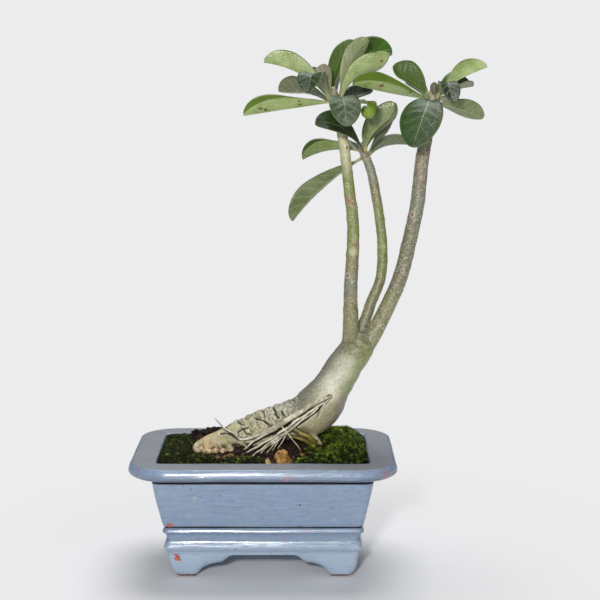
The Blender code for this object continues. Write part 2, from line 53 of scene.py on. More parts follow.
# The camera stands where the photograph was taken from.
view = {"place": (-0.0060, -1.334, 0.463), "tilt": 81.25, "lens": 85.8}
stage = {"floor": (0.86, 0.86, 0.87), "floorRadius": 30.0, "sky": (0.93, 0.94, 0.96), "skyLight": 0.15,
         "backdrop": (0.84, 0.84, 0.85), "fadeStart": 0.10, "fadeEnd": 0.42}
# name: place, point it faces, size across, watts
lamps = {
    "key": ((-0.20, -1.58, 0.70), (0.0, 0.0, 0.26), 0.14, 17.0),
    "fill": ((1.0, -1.5, 0.6), (0.0, 0.0, 0.25), 1.0, 1.6),
    "top": ((0.1, 0.5, 1.9), (0.0, 0.0, 0.2), 1.4, 27.0),
}


def linear(value):
    value = value / 255.0
    return value / 12.92 if value <= 0.04045 else ((value + 0.055) / 1.055) ** 2.4


# A colour as a painter's red, green, blue from 0 to 255, for a node.
def tint(red, green, blue):
    return (linear(red), linear(green), linear(blue), 1.0)


def fade(value, low, high):
    share = min(max((value - low) / (high - low), 0.0), 1.0)
    return share * share * (3 - 2 * share)


# Node helpers. A value that is a socket is linked, and any other is set.
def feed(tree, value, socket):
    if isinstance(value, bpy.types.NodeSocket):
        tree.links.new(value, socket)
    else:
        socket.default_value = value


def addNode(tree, kind, inputs=(), **settings):
    node = tree.nodes.new(kind)
    for key, value in settings.items():
        setattr(node, key, value)
    for key, value in dict(inputs).items():
        feed(tree, value, node.inputs[key])
    return node


def calc(tree, operation, *values):
    inputs = dict(enumerate(values))
    return addNode(tree, "ShaderNodeMath", inputs, operation=operation).outputs[0]


def times(tree, first, second):
    return calc(tree, "MULTIPLY", first, second)


def minus(tree, first, second):
    return calc(tree, "SUBTRACT", first, second)


# A value times a factor, plus an extra.
def scaled(tree, value, factor, extra):
    return calc(tree, "MULTIPLY_ADD", value, factor, extra)


# How far a value lies from a level, either way.
def farFrom(tree, value, level):
    return calc(tree, "ABSOLUTE", minus(tree, value, level))


# Puts one colour over another by a mask, times an amount where there is one.
# A colour is a socket or a tint's three numbers.
def mixColors(tree, mask, under, over, amount=None):
    if amount is not None:
        mask = times(tree, mask, amount)
    under, over = [tint(*side) if isinstance(side, tuple) else side for side in (under, over)]
    return addNode(tree, "ShaderNodeMix", {0: mask, 6: under, 7: over}, data_type="RGBA").outputs[2]


# Turns a value into a mask that rises smoothly from low to high.
def rise(tree, value, low, high, start=0.0, end=1.0):
    inputs = {"Value": value, "From Min": low, "From Max": high, "To Min": start, "To Max": end}
    return addNode(tree, "ShaderNodeMapRange", inputs, interpolation_type="SMOOTHSTEP").outputs["Result"]


def fall(tree, value, low, high):
    return rise(tree, value, low, high, 1.0, 0.0)


def attribute(tree, name, output="Fac"):
    return addNode(tree, "ShaderNodeAttribute", attribute_name=name).outputs[output]


def coordinate(tree, kind):
    return addNode(tree, "ShaderNodeTexCoord").outputs[kind]


def objectPoint(tree, scale=(1.0, 1.0, 1.0)):
    inputs = {"Vector": coordinate(tree, "Object"), "Scale": scale}
    return addNode(tree, "ShaderNodeMapping", inputs).outputs["Vector"]


def axis(tree, vector, letter):
    return addNode(tree, "ShaderNodeSeparateXYZ", {"Vector": vector}).outputs[letter]


# How far a surface faces up, from 1 on top to -1 underneath.
def upward(tree):
    return axis(tree, addNode(tree, "ShaderNodeNewGeometry").outputs["Normal"], "Z")


def noiseValue(tree, point, scale, detail=2.0, **more):
    inputs = {"Vector": point, "Scale": scale, "Detail": detail, **more}
    return addNode(tree, "ShaderNodeTexNoise", inputs).outputs["Fac"]


def cells(tree, point, scale, feature="F1"):
    inputs = {"Vector": point, "Scale": scale}
    return addNode(tree, "ShaderNodeTexVoronoi", inputs, feature=feature).outputs


def redOf(tree, color):
    return addNode(tree, "ShaderNodeSeparateColor", {"Color": color}).outputs[0]


# Sets sockets of a material's shader, with _ for a space in their names.
def setShader(material, sockets):
    shader = material.node_tree.nodes["Principled BSDF"]
    for key, value in sockets.items():
        feed(material.node_tree, value, shader.inputs[key.replace("_", " ")])


def startMaterial(name, roughness, **sockets):
    material = bpy.data.materials.new(name)
    material.use_nodes = True
    setShader(material, {"Roughness": roughness, **sockets})
    return material, material.node_tree, objectPoint(material.node_tree)


# Gives a material its colour and a bump of so many millimetres.
def closeMaterial(material, color, relief, depth, **sockets):
    bump = addNode(material.node_tree, "ShaderNodeBump",
                   {"Height": relief, "Distance": depth * mm, "Strength": 1.0})
    setShader(material, {"Base_Color": color, "Normal": bump.outputs["Normal"], **sockets})
    return material


# Mesh helpers.
def toMesh(name, shape):
    mesh = bpy.data.meshes.new(name)
    shape.to_mesh(mesh)
    shape.free()
    return mesh


# Joins meshes in one shape and removes them.
def joinMeshes(meshes):
    whole = bmesh.new()
    for mesh in meshes:
        whole.from_mesh(mesh)
        bpy.data.meshes.remove(mesh)
    return whole


def helper(name, shape):
    thing = bpy.data.objects.new(name, toMesh(name, shape))
    scene.collection.objects.link(thing)
    return thing


# The mesh of a helper after its modifiers. The helper goes.
def settle(thing):
    graph = bpy.context.evaluated_depsgraph_get()
    mesh = bpy.data.meshes.new_from_object(thing.evaluated_get(graph), preserve_all_data_layers=True,
                                           depsgraph=graph)
    bpy.data.objects.remove(thing)
    return mesh


def addPiece(name, shape, materials, stands=(), sharp=None):
    mesh = toMesh(name, shape) if isinstance(shape, bmesh.types.BMesh) else shape
    mesh.transform(inPlace)
    if not any(mesh.materials):
        mesh.materials.clear()
        for material in materials:
            mesh.materials.append(material)
    mesh.shade_smooth()
    if sharp:
        mesh.set_sharp_from_angle(angle=math.radians(sharp))
    piece = bpy.data.objects.new(name, mesh)
    scene.collection.objects.link(piece)
    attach(piece, "root")
    if stands:
        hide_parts(*stands)
    return piece


def storeValues(mesh, name, values):
    layer = mesh.attributes.new(name, "FLOAT", "POINT")
    layer.data.foreach_set("value", values)


# Walls between closed rings of points that have the same count, closed at both ends.
def loft(shape, rings):
    loops = []
    for points in rings:
        corners = [shape.verts.new(point) for point in points]
        loops.append([shape.edges.new(pair) for pair in zip(corners, corners[1:] + corners[:1])])
    for low, high in zip(loops, loops[1:]):
        bmesh.ops.bridge_loops(shape, edges=low + high)
    for loop in (loops[0], loops[-1]):
        bmesh.ops.edgeloop_fill(shape, edges=loop)
    bmesh.ops.recalc_face_normals(shape, faces=shape.faces)


# Catmull-Rom curve through rows of numbers, with steps points for each stretch.
def smoothLine(points, steps):
    rows = [Vector(row) for row in points]
    rows = [rows[0] * 2 - rows[1]] + rows + [rows[-1] * 2 - rows[-2]]
    line = []
    for before, start, end, after in zip(rows, rows[1:], rows[2:], rows[3:]):
        for step in range(steps):
            t = step / steps
            line.append(0.5 * (2 * start + (end - before) * t
                               + (2 * before - 5 * start + 4 * end - after) * t * t
                               + (3 * start - before - 3 * end + after) * t ** 3))
    line.append(rows[-2])
    return line


# Cuts the corners of a line of rows, so that it runs in soft curves.
def roundCorners(rows):
    line = [rows[0]]
    for start, end in zip(rows, rows[1:]):
        line.append(tuple(a * 0.75 + b * 0.25 for a, b in zip(start, end)))
        line.append(tuple(a * 0.25 + b * 0.75 for a, b in zip(start, end)))
    line.append(rows[-1])
    return line


tube = {"leastRadius": 0.25, "wiggleLength": 9.0}


# Round tube of its own radius at each row (x, y, z, radius).
def sweep(shape, rows, steps, sides, wiggle=0.0, seed=0.0):
    line = smoothLine(rows, steps)
    rings = []
    facing, turn = None, None
    for i, row in enumerate(line):
        before, after = line[max(i - 1, 0)], line[min(i + 1, len(line) - 1)]
        ahead = (Vector(after[:3]) - Vector(before[:3])).normalized()
        if turn is None:
            turn = ahead.to_track_quat("Z", "Y")
        else:
            turn = facing.rotation_difference(ahead) @ turn
        facing = ahead
        middle = Vector(row[:3])
        if wiggle:
            middle += noise.noise_vector(middle / tube["wiggleLength"] + Vector((seed, seed, seed))) * wiggle
        ring = []
        for side in range(sides):
            angle = math.tau * side / sides
            arm = Vector((math.cos(angle), math.sin(angle), 0.0)) * max(row[3], tube["leastRadius"])
            ring.append(middle + turn @ arm)
        rings.append(ring)
    loft(shape, rings)


def makeView():
    lens = bpy.data.cameras.new("photoCamera")
    lens.lens = view["lens"]
    lens.sensor_width = 36.0
    lens.sensor_fit = "HORIZONTAL"
    lens.clip_start = 0.05
    camera = bpy.data.objects.new("photoCamera", lens)
    camera.location = view["place"]
    camera.rotation_euler = (math.radians(view["tilt"]), 0.0, 0.0)
    scene.collection.objects.link(camera)
    scene.camera = camera


def makeLamps():
    for name, (place, target, size, watts) in lamps.items():
        lamp = bpy.data.lights.new(name, "AREA")
        lamp.shape = "DISK"
        lamp.size = size
        lamp.energy = watts
        holder = bpy.data.objects.new(name, lamp)
        holder.location = place
        aim = Vector(target) - Vector(place)
        holder.rotation_euler = aim.to_track_quat("-Z", "Y").to_euler()
        scene.collection.objects.link(holder)


# The sky lights the object, and the camera sees the plain backdrop in its place.
def makeSky():
    world = bpy.data.worlds.new("paleRoom")
    world.use_nodes = True
    tree = world.node_tree
    sky = tree.nodes["Background"]
    sky.inputs["Color"].default_value = (*stage["sky"], 1.0)
    sky.inputs["Strength"].default_value = stage["skyLight"]
    seen = addNode(tree, "ShaderNodeBackground", {"Color": (*stage["backdrop"], 1.0)})
    ray = addNode(tree, "ShaderNodeLightPath").outputs["Is Camera Ray"]
    mix = addNode(tree, "ShaderNodeMixShader", {0: ray, 1: sky.outputs[0], 2: seen.outputs[0]})
    feed(tree, mix.outputs[0], tree.nodes["World Output"].inputs["Surface"])
    scene.world = world


# Away from the pot the floor turns into the plain backdrop, so that no edge shows.
def makeFloor():
    shape = bmesh.new()
    bmesh.ops.create_circle(shape, cap_ends=True, segments=96, radius=stage["floorRadius"])
    floor = helper("floor", shape)
    paper, tree, point = startMaterial("floorPaper", 0.9, Base_Color=(*stage["floor"], 1.0))
    length = addNode(tree, "ShaderNodeVectorMath", {0: point}, operation="LENGTH").outputs["Value"]
    ray = addNode(tree, "ShaderNodeLightPath").outputs["Is Camera Ray"]
    seen = times(tree, rise(tree, length, stage["fadeStart"], stage["fadeEnd"]), ray)
    far = addNode(tree, "ShaderNodeEmission", {"Color": (*stage["backdrop"], 1.0)})
    near = tree.nodes["Principled BSDF"]
    mix = addNode(tree, "ShaderNodeMixShader", {0: seen, 1: near.outputs[0], 2: far.outputs[0]})
    feed(tree, mix.outputs[0], tree.nodes["Material Output"].inputs["Surface"])
    floor.data.materials.append(paper)


scene.view_settings.view_transform = "Standard"
makeView()
makeLamps()
makeSky()
makeFloor()
print("camera, lights and floor set")


def startGroup(name, inputs, outputs):
    group = bpy.data.node_groups.new(name, "ShaderNodeTree")
    for label, kind, value in inputs:
        socket = group.interface.new_socket(label, in_out="INPUT", socket_type="NodeSocket" + kind)
        if value is not None:
            socket.default_value = value
    for label, kind in outputs:
        group.interface.new_socket(label, in_out="OUTPUT", socket_type="NodeSocket" + kind)
    return group, group.nodes.new("NodeGroupInput").outputs, group.nodes.new("NodeGroupOutput").inputs


# Cloudy patches: a mask from noise, and the plain noise for a bump.
def makeCloudGroup():
    group, enter, leave = startGroup(
        "cloudyPatches",
        (("Vector", "Vector", None), ("Scale", "Float", 50.0), ("Detail", "Float", 3.0),
         ("Low", "Float", 0.4), ("High", "Float", 0.6)),
        (("Mask", "Float"), ("Value", "Float")))
    cloud = noiseValue(group, enter["Vector"], enter["Scale"], enter["Detail"])
    feed(group, rise(group, cloud, enter["Low"], enter["High"]), leave["Mask"])
    feed(group, cloud, leave["Value"])
    return group


# Round flecks or pits: a mask from the middles of cells, in more or fewer of them.
def makeFleckGroup():
    group, enter, leave = startGroup(
        "roundFlecks",
        (("Vector", "Vector", None), ("Scale", "Float", 200.0), ("Size", "Float", 0.3),
         ("Share", "Float", 0.5)),
        (("Mask", "Float"),))
    point, scale, size = enter["Vector"], enter["Scale"], enter["Size"]
    warp = minus(group, noiseValue(group, point, scale), 0.5)
    found = cells(group, point, scale)
    ragged = scaled(group, warp, 0.5, found["Distance"])
    dot = fall(group, ragged, times(group, size, 0.55), size)
    kept = calc(group, "LESS_THAN", redOf(group, found["Color"]), enter["Share"])
    feed(group, times(group, dot, kept), leave["Mask"])
    return group


# Lightens and darkens a colour a little, so that no surface has one flat tone.
def makeDriftGroup():
    group, enter, leave = startGroup(
        "colourDrift",
        (("Color", "Color", None), ("Vector", "Vector", None), ("Scale", "Float", 30.0),
         ("Amount", "Float", 0.2)),
        (("Color", "Color"),))
    cloud = noiseValue(group, enter["Vector"], enter["Scale"], 5.0, Roughness=0.6)
    factor = scaled(group, minus(group, cloud, 0.5), times(group, enter["Amount"], 4.0), 1.0)
    drifted = addNode(group, "ShaderNodeHueSaturation", {"Color": enter["Color"], "Value": factor})
    feed(group, drifted.outputs["Color"], leave["Color"])
    return group


cloudGroup = makeCloudGroup()
fleckGroup = makeFleckGroup()
driftGroup = makeDriftGroup()


def useGroup(tree, group, **inputs):
    return addNode(tree, "ShaderNodeGroup", inputs, node_tree=group).outputs


# The mask and the plain value of cloudy patches.
def clouds(tree, point, scale, detail, low=0.4, high=0.6):
    found = useGroup(tree, cloudGroup, Vector=point, Scale=scale, Detail=detail, Low=low, High=high)
    return found["Mask"], found["Value"]


def flecks(tree, point, scale, size, share):
    return useGroup(tree, fleckGroup, Vector=point, Scale=scale, Size=size, Share=share)["Mask"]


def driftColor(tree, color, point, scale, amount):
    return useGroup(tree, driftGroup, Color=color, Vector=point, Scale=scale, Amount=amount)["Color"]


# Pot. Rows are (inset from the rim's edge, height).
pot = {
    "halfLong": 125, "halfWide": 83, "corner": 38, "cornerTaper": 1.3, "leastCorner": 5,
    "cornerSteps": 20, "longSteps": 84, "wideSteps": 48,
    "wave": 0.4, "waveLength": 45, "underside": 24, "frontGap": 64, "sideGap": 22,
    "frontAt": 25, "sideAt": 66, "drainX": 42, "drainRadius": 6,
    "inside": ((45.5, 31), (42.5, 31.4), (41, 33), (38.2, 51), (27.4, 101), (27, 110)),
    "rim": ((26.9, 112.6), (26.3, 114), (24.4, 114.5), (12, 114.5), (8, 114.4), (5.2, 114.3),
            (3.6, 114), (2.6, 113.6), (2.1, 113), (1.7, 112.2), (1.3, 111.2), (0.9, 110.1),
            (0.6, 109), (0.3, 107.6), (0.2, 106.2), (0.6, 105), (1.8, 103.7), (3.9, 102.7),
            (7, 101.9), (12, 101.3), (18.4, 100.9), (22.6, 100.7), (24.3, 99.7), (24.7, 98.4)),
    "wall": ((24, 97.2), (22.4, 96.5), (22, 95.7), (26.2, 76), (30.7, 55), (31.6, 52.4),
             (32.8, 51.6), (33.8, 51.1), (32.9, 50.5), (32, 49.6), (31.5, 48.6), (31.1, 47.6),
             (30.8, 46.7), (31.1, 45.9), (32.2, 45.2), (33.2, 44.3), (34, 42.4), (34.6, 40.6),
             (34.9, 39.4), (34.4, 38.5), (33.7, 37.6), (33.2, 36.4), (32.8, 35.1), (32.4, 33.8),
             (32, 32.5), (31.7, 31.3), (31.9, 30.2), (32.5, 29.1), (33.5, 27.8), (35.1, 26.2)),
    "feet": ((36.3, 16), (38.3, 7.5), (40.2, 3.6), (42, 1.1), (43.4, 0.2), (45, 0),
             (49, 0), (50.3, 0.6), (50, 2.4), (46.2, 12), (44.8, 21.5), (44.2, 24)),
    "gap": ((0, 22.2), (0.36, 22.2), (0.44, 21.9), (0.49, 20.6), (0.54, 18), (0.58, 15.4),
            (0.61, 14.3), (0.67, 13.6), (0.75, 12.7), (0.83, 11), (0.89, 8.6), (0.95, 5), (1, 0.4)),
    # Bare clay shows in chips: x, y, z, radius
    "chips": ((-113, -72, 112.6, 2), (-86.5, -51.5, 53.4, 3.2), (-81.6, -47.5, 21.6, 3.4),
              (-78.6, -47.5, 20, 2.2), (88, -44, 20, 2), (88.6, -42, 26, 1.6),
              (112, -72, 107, 1.6), (-76, -46, 3, 1.6), (80, -46, 3, 1.4),
              (40, 83, 106, 3), (-88, 60, 106, 2.4), (123, 20, 112, 2.2)),
    # Paint rubbed thin: x, y, z, radius
    "rubs": ((21, -83, 106.5, 4.5), (26, -83, 108, 3), (12, -79, 114, 3.5),
             (84, -80, 113.5, 2.2), (112, -72, 109, 7), (118, -62, 106, 5),
             (-60, 83, 107, 5), (124, 40, 108, 5), (-122, -30, 107, 4),
             (40, -52, 48, 3), (20, -50, 40, 3), (60, -51, 41, 2.4)),
    # Pale smudges and scratches: x, y, z, radius
    "smudges": ((-65.5, -57, 84, 3), (-62.5, -57, 80, 2.6), (-59.7, -57, 77, 2.8),
                (-56, -57, 77.5, 2.4), (-50, -57, 86, 2.2), (58, -55, 66.5, 2.6),
                (63, -55, 65, 2.4), (69, -54, 65, 2.4), (66, -54, 61, 2),
                (54, -55, 69, 1.8), (-84, -56, 80, 1.8), (-8, -55, 70, 1.6)),
}
# The pot's paint and clay, and its grooves: height, half width, most painted shade.
paint = {
    "base": (127, 145, 171), "stroke": (141, 159, 184), "patch": (138, 156, 172), "low": (176, 194, 213),
    "underRimShade": (88, 94, 112), "dustAndSheen": (139, 141, 147), "scuff": (98, 112, 136),
    "smudge": (186, 190, 176), "rub": (172, 118, 118), "pit": (70, 72, 84), "grooveShade": (12, 15, 24),
    "clay": (168, 74, 58), "paleClay": (196, 110, 92), "sole": (92, 50, 42),
    "grooves": ((0.0977, 0.0034, 0.95), (0.0511, 0.0010, 0.95), (0.0390, 0.0016, 0.12)),
}


def tableAt(rows, share):
    for (low, first), (high, second) in zip(rows, rows[1:]):
        if share <= high:
            return first + (second - first) * (share - low) / (high - low)
    return rows[-1][1]


def potRing(inset, height):
    corner = max(pot["corner"] - pot["cornerTaper"] * inset, pot["leastCorner"])
    halfLong, halfWide = pot["halfLong"] - inset, pot["halfWide"] - inset
    arcs = []
    for sideX, sideY, start in ((1, 1, 0), (-1, 1, 90), (-1, -1, 180), (1, -1, 270)):
        middle = Vector((sideX * (halfLong - corner), sideY * (halfWide - corner), height))
        arc = []
        for step in range(pot["cornerSteps"] + 1):
            angle = math.radians(start + 90.0 * step / pot["cornerSteps"])
            arc.append(middle + Vector((math.cos(angle), math.sin(angle), 0.0)) * corner)
        arcs.append(arc)
    ring = []
    for i, arc in enumerate(arcs):
        steps = pot["longSteps"] if i % 2 == 0 else pot["wideSteps"]
        end = arcs[(i + 1) % 4][0]
        ring += arc + [arc[-1].lerp(end, step / steps) for step in range(1, steps)]
    return ring


gapLine = roundCorners(pot["gap"])


# The lower edge rises between the feet, in the outline of a cloud.
def liftFeet(point):
    lift = 0.0
    if abs(point.y) > pot["frontAt"]:
        lift = tableAt(gapLine, min(abs(point.x) / pot["frontGap"], 1.0))
    elif abs(point.x) > pot["sideAt"]:
        lift = tableAt(gapLine, min(abs(point.y) / pot["sideGap"], 1.0))
    point.z += (1.0 - point.z / pot["underside"]) * lift


def spotValues(mesh, spots):
    values = []
    for vertex in mesh.vertices:
        best = 0.0
        for x, y, z, radius in spots:
            far = (vertex.co - Vector((x, y, z))).length / radius
            if far < 2.0:
                best = max(best, 1.0 - far * 0.5)
        values.append(best)
    return values


def makePot(material):
    shape = bmesh.new()
    rows = roundCorners(pot["inside"] + pot["rim"] + pot["wall"] + pot["feet"])
    feetFrom = len(rows) - 2 * len(pot["feet"])
    rings = []
    for i, (inset, height) in enumerate(rows):
        ring = potRing(inset, height)
        if i >= feetFrom:
            for point in ring:
                if point.z < pot["underside"]:
                    liftFeet(point)
        rings.append(ring)
    loft(shape, rings)
    for vertex in shape.verts:
        bend = noise.noise_vector(vertex.co / pot["waveLength"]) * pot["wave"]
        if vertex.co.z > 2.0:
            vertex.co += bend * fade(vertex.co.z, 2.0, 12.0)
    body = helper("potShell", shape)
    drills = bmesh.new()
    for side in (-1, 1):
        place = Matrix.Translation((side * pot["drainX"], 0.0, 28.0))
        bmesh.ops.create_cone(drills, cap_ends=True, segments=48, radius1=pot["drainRadius"],
                              radius2=pot["drainRadius"], depth=20.0, matrix=place)
    drill = helper("drills", drills)
    cut = body.modifiers.new("drill", "BOOLEAN")
    cut.object = drill
    cut.operation = "DIFFERENCE"
    cut.solver = "EXACT"
    mesh = settle(body)
    bpy.data.objects.remove(drill)
    for name, spots in (("chip", pot["chips"]), ("rub", pot["rubs"]), ("smudge", pot["smudges"])):
        storeValues(mesh, name, spotValues(mesh, spots))
    return addPiece("paintedPot", mesh, [material], ["pot"], 40.0)


def makePaint():
    material, tree, point = startMaterial("greyBluePaint", 0.35, Coat_Weight=0.8, Coat_Roughness=0.13)
    height = axis(tree, point, "Z")
    brushed = objectPoint(tree, (1.0, 1.0, 16.0))
    streak, streakValue = clouds(tree, brushed, 34.0, 6.0, 0.35, 0.68)
    patch = clouds(tree, point, 16.0, 3.0, 0.4, 0.65)[0]
    color = mixColors(tree, streak, paint["base"], paint["stroke"], 0.45)
    color = mixColors(tree, patch, color, paint["patch"], 0.4)
    color = driftColor(tree, color, point, 260.0, 0.08)
    # Painted light: the pot is painted lighter towards the foot.
    color = mixColors(tree, fall(tree, height, 0.020, 0.046), color, paint["low"], 0.8)
    # Painted shade darkens the rim's lower face, broken up in strokes.
    worn = clouds(tree, brushed, 60.0, 5.0, 0.5, 0.62)[0]
    band = times(tree, rise(tree, height, 0.1090, 0.1045, 0.0, 0.8), rise(tree, height, 0.0985, 0.1005))
    color = mixColors(tree, times(tree, band, scaled(tree, worn, -0.5, 1.0)), color, paint["underRimShade"])
    dusty = times(tree, rise(tree, upward(tree), 0.965, 0.995), 0.9)
    color = mixColors(tree, dusty, color, paint["dustAndSheen"])
    torn, tornValue = clouds(tree, point, 420.0, 3.0)
    jagged = times(tree, minus(tree, tornValue, 0.5), 0.7)
    scuff = clouds(tree, objectPoint(tree, (1.0, 1.0, 7.0)), 110.0, 5.0, 0.60, 0.66)[0]
    color = mixColors(tree, scuff, color, paint["scuff"], 0.35)
    marks = {}
    for label, low, high in (("smudge", 0.45, 0.75), ("rub", 0.45, 0.9), ("chip", 0.5, 0.56)):
        marks[label] = rise(tree, calc(tree, "ADD", attribute(tree, label), jagged), low, high)
    color = mixColors(tree, marks["smudge"], color, paint["smudge"], 0.55)
    color = mixColors(tree, marks["rub"], color, paint["rub"], 0.55)
    pit = flecks(tree, point, 150.0, 0.16, 0.08)
    color = mixColors(tree, pit, color, paint["pit"], 0.7)
    # Painted shade darkens the grooves that run around the pot, and they don't shine.
    matt = dusty
    for level, reach, most in paint["grooves"]:
        groove = fall(tree, farFrom(tree, height, level), reach * 0.45, reach)
        color = mixColors(tree, groove, color, paint["grooveShade"], most)
        matt = calc(tree, "MAXIMUM", matt, groove)
    foot = fall(tree, scaled(tree, jagged, 0.004, height), 0.0022, 0.0032)
    bare = calc(tree, "MAXIMUM", marks["chip"], foot)
    clay = mixColors(tree, torn, paint["clay"], paint["paleClay"])
    clay = mixColors(tree, foot, clay, paint["sole"], 0.85)
    color = mixColors(tree, bare, color, clay)
    dabbed = clouds(tree, objectPoint(tree, (1.0, 1.0, 5.0)), 52.0, 5.0, 0.40, 0.60)[0]
    sheen = times(tree, scaled(tree, dabbed, 0.75, 0.12), minus(tree, 1.0, matt))
    gloss = calc(tree, "ADD", rise(tree, streakValue, 0.36, 0.62, 0.20, 0.42), times(tree, dusty, 0.25))
    for mask, least in ((bare, 0.8), (matt, 0.6)):
        gloss = calc(tree, "MAXIMUM", gloss, times(tree, mask, least))
    relief = scaled(tree, clouds(tree, point, 700.0, 2.0)[1], 0.4, streakValue)
    for mask, depth in ((pit, 0.6), (scuff, 0.3), (bare, 0.9)):
        relief = minus(tree, relief, times(tree, mask, depth))
    return closeMaterial(material, color, relief, 0.32, Coat_Weight=sheen, Roughness=gloss)


makePot(makePaint())
print("pot made")

# Trunk and roots, each row (x, y, z, radius), from the buried end up.
trunk = {
    "body": ((-66, -13, 113, 2.5), (-62.5, -12.5, 115, 7.6), (-54, -11.5, 117, 10.8),
             (-42, -10, 121, 12.4), (-27.6, -6, 126, 13.8), (-8.6, -3, 131.6, 16.2),
             (10.5, 0, 137.8, 18), (27.7, 3, 142, 18.8), (44, 5, 147.2, 22.4),
             (57, 5, 160, 21.2), (66, 4, 175, 18.4), (76, 3, 191.7, 16.8),
             (85.5, 2.5, 206, 16), (92, 2.5, 217, 13.6), (96, 3, 224, 8)),
    "left": ((77.5, 2, 198, 8.2), (81.6, 2, 214, 8), (82.4, -2, 239, 7.4),
             (81.9, -4, 263, 6.6), (82.8, -5, 287, 6.2), (84, -6, 311, 5.9),
             (83.6, -7, 334, 5.6), (80.6, -8, 357.5, 5.3), (77.8, -9, 381, 5),
             (74.9, -10, 404, 4.8), (70.2, -11, 428, 4.7), (66.2, -12, 446, 4.6),
             (64.6, -12, 453, 3.8), (63.9, -12, 457, 2)),
    "middle": ((84, 5, 204, 6.6), (91, 8, 223, 6), (97.4, 12, 238.5, 5.4),
               (103, 15, 255, 5.2), (110, 18, 271, 5.1), (112.7, 20, 285.5, 5),
               (113.1, 21, 303, 4.9), (111.5, 22, 322, 4.8), (108.5, 22, 343, 4.7),
               (104.5, 22, 365, 4.5), (100.6, 21, 381, 4.3), (94.4, 20, 395, 4.1),
               (91.6, 20, 402, 3.2), (90.6, 20, 405, 1.8)),
    "right": ((86, 2, 200, 9.6), (98, 2, 215, 8.6), (108.4, 3, 233, 7.8),
              (118.7, 4, 254, 7.4), (127, 4, 273, 7.2), (132.5, 4, 291, 7),
              (136, 4, 307, 6.9), (140.5, 4, 328, 6.8), (144, 3, 347, 6.7),
              (146.4, 2, 371, 6.5), (148, 0, 389, 6.4), (151.9, -2, 417, 6.2),
              (156.2, -4, 444, 5.6), (157.6, -4, 452, 4.4), (158.4, -4, 457, 2.2)),
    "anchors": (((44, 12, 132, 8.5), (48, 16, 114, 7), (54, 20, 96, 4.6),
                 (58, 23, 82, 2.6)),
                ((18, -4, 135, 5), (26, -10, 133, 4.2), (36.5, -11.5, 128, 3.9),
                 (46.5, -11, 120.5, 3.6), (56, -10, 110, 2.4)),
                ((30, -8, 135, 4), (40, -8, 131.5, 3.4), (49, -7, 125, 3.2),
                 (58, -6, 112, 2.4)),
                ((-20, -3, 124, 8), (-26, 6, 106, 5.5), (-32, 14, 88, 3.4),
                 (-36, 18, 76, 1.6)),
                ((-60, -14, 115, 5), (-52, -17.5, 114, 7.6), (-43, -19, 113.5, 8.4),
                 (-34, -18, 113.5, 7.8), (-24, -14, 114, 5.5))),
    "voxel": 0.85, "smoothing": 3, "creaseWidth": 1.15, "creaseDepth": 1.25,
    "wave": 1.6, "waveLength": 25.0, "knob": 0.55, "knobLength": 8.0,
    "armEnd": (20.0, 44.0), "armStart": (-40.0, -22.0),  # along x, where the wrinkled arm runs
    "wrinkle": 1.0, "wrinkleLength": 2.6, "wrinkleEdge": 0.22, "folds": 1.1, "foldSize": (11.0, 9.0, 3.4),
    "rugged": 3.2, "ruggedLength": 4.6, "ruggedFine": 2.1,
    "ruggedX": (-10.0, -20.0), "ruggedY": (-10.0, -17.0), "ruggedZ": (127.0, 119.0),
    "creaseTop": 222.0, "creaseFront": 2.0, "creaseReach": 2.5, "scarTurn": 137.5,
    "stemWave": 0.35, "stemLength": 6.0, "scarRim": 0.45, "scarDip": 0.55,
    "baseTint": "olive", "baseWeight": 0.12, "dabStrength": 8.0,
}
# Creases on the front, each with half width, depth, and points (x, z).
creases = (
    (1.5, 4.2, ((62.5, 167.6), (53.1, 162), (39, 153.2), (28.1, 145.9), (20.2, 139.5),
                (15.2, 136.3), (9.1, 132.5), (-2.9, 127), (-14, 119.5))),
    (1.1, 1.6, ((48, 159.6), (44.5, 157.4))),
    (1.3, 3.8, ((61.6, 167), (57.8, 161.4), (53.1, 157.4), (43.7, 150.1), (32.8, 141.3),
                (25, 137))),
    (0.8, 1.4, ((54.7, 157.1), (52.5, 153.5), (50.7, 149.1))),
    (0.75, 1.2, ((-9.2, 146.6), (0.1, 144.8), (3.7, 142.6), (7.3, 140.1), (11, 136.5))),
    (0.8, 1.1, ((-33, 141.4), (-26.6, 142.5), (-18.8, 140.1))),
    (0.8, 1.2, ((-24.1, 134.1), (-19.3, 137.2), (-14.4, 138.1))),
    (0.8, 1.2, ((-19.2, 137.1), (-16.9, 133.1), (-11.5, 131.8))),
    (1.1, 2, ((-41.5, 138), (-33.8, 135.1), (-25.9, 129.6), (-18.1, 125.9), (-8.4, 127.8))),
    (0.8, 1.4, ((-41, 132.7), (-36.2, 133.3), (-30.1, 131.5), (-26.6, 128.4), (-23, 126.5))),
    (0.75, 1, ((-8.4, 132), (3.7, 134.8))),
    (0.9, 1.6, ((10.5, 150.4), (12.8, 149), (14.2, 147.6))),
    (0.9, 1.5, ((7.9, 156.6), (12.2, 150.8), (13.4, 144.5), (14.5, 142.2))),
    (0.8, 1.2, ((17, 152.5), (20.7, 148.2), (22.5, 145))),
    (0.8, 1.1, ((-1.5, 152.5), (1, 149.5), (1.5, 147.5))),
    (1, 0.6, ((80, 208.5), (84.2, 206.9), (88.1, 204.6), (92, 204))),
    (1.6, 0.7, ((80.5, 219), (85.1, 218.5), (90.6, 216.1), (95.3, 212.9), (101, 212))),
    (0.9, 1.2, ((-58, 112), (-52, 111), (-46, 112.5))),
    (0.9, 1.2, ((-54, 107.8), (-48, 106.5), (-40, 108.5))),
    (1, 1.2, ((27, 133.5), (35, 129.5), (44, 126), (51, 123))),
)
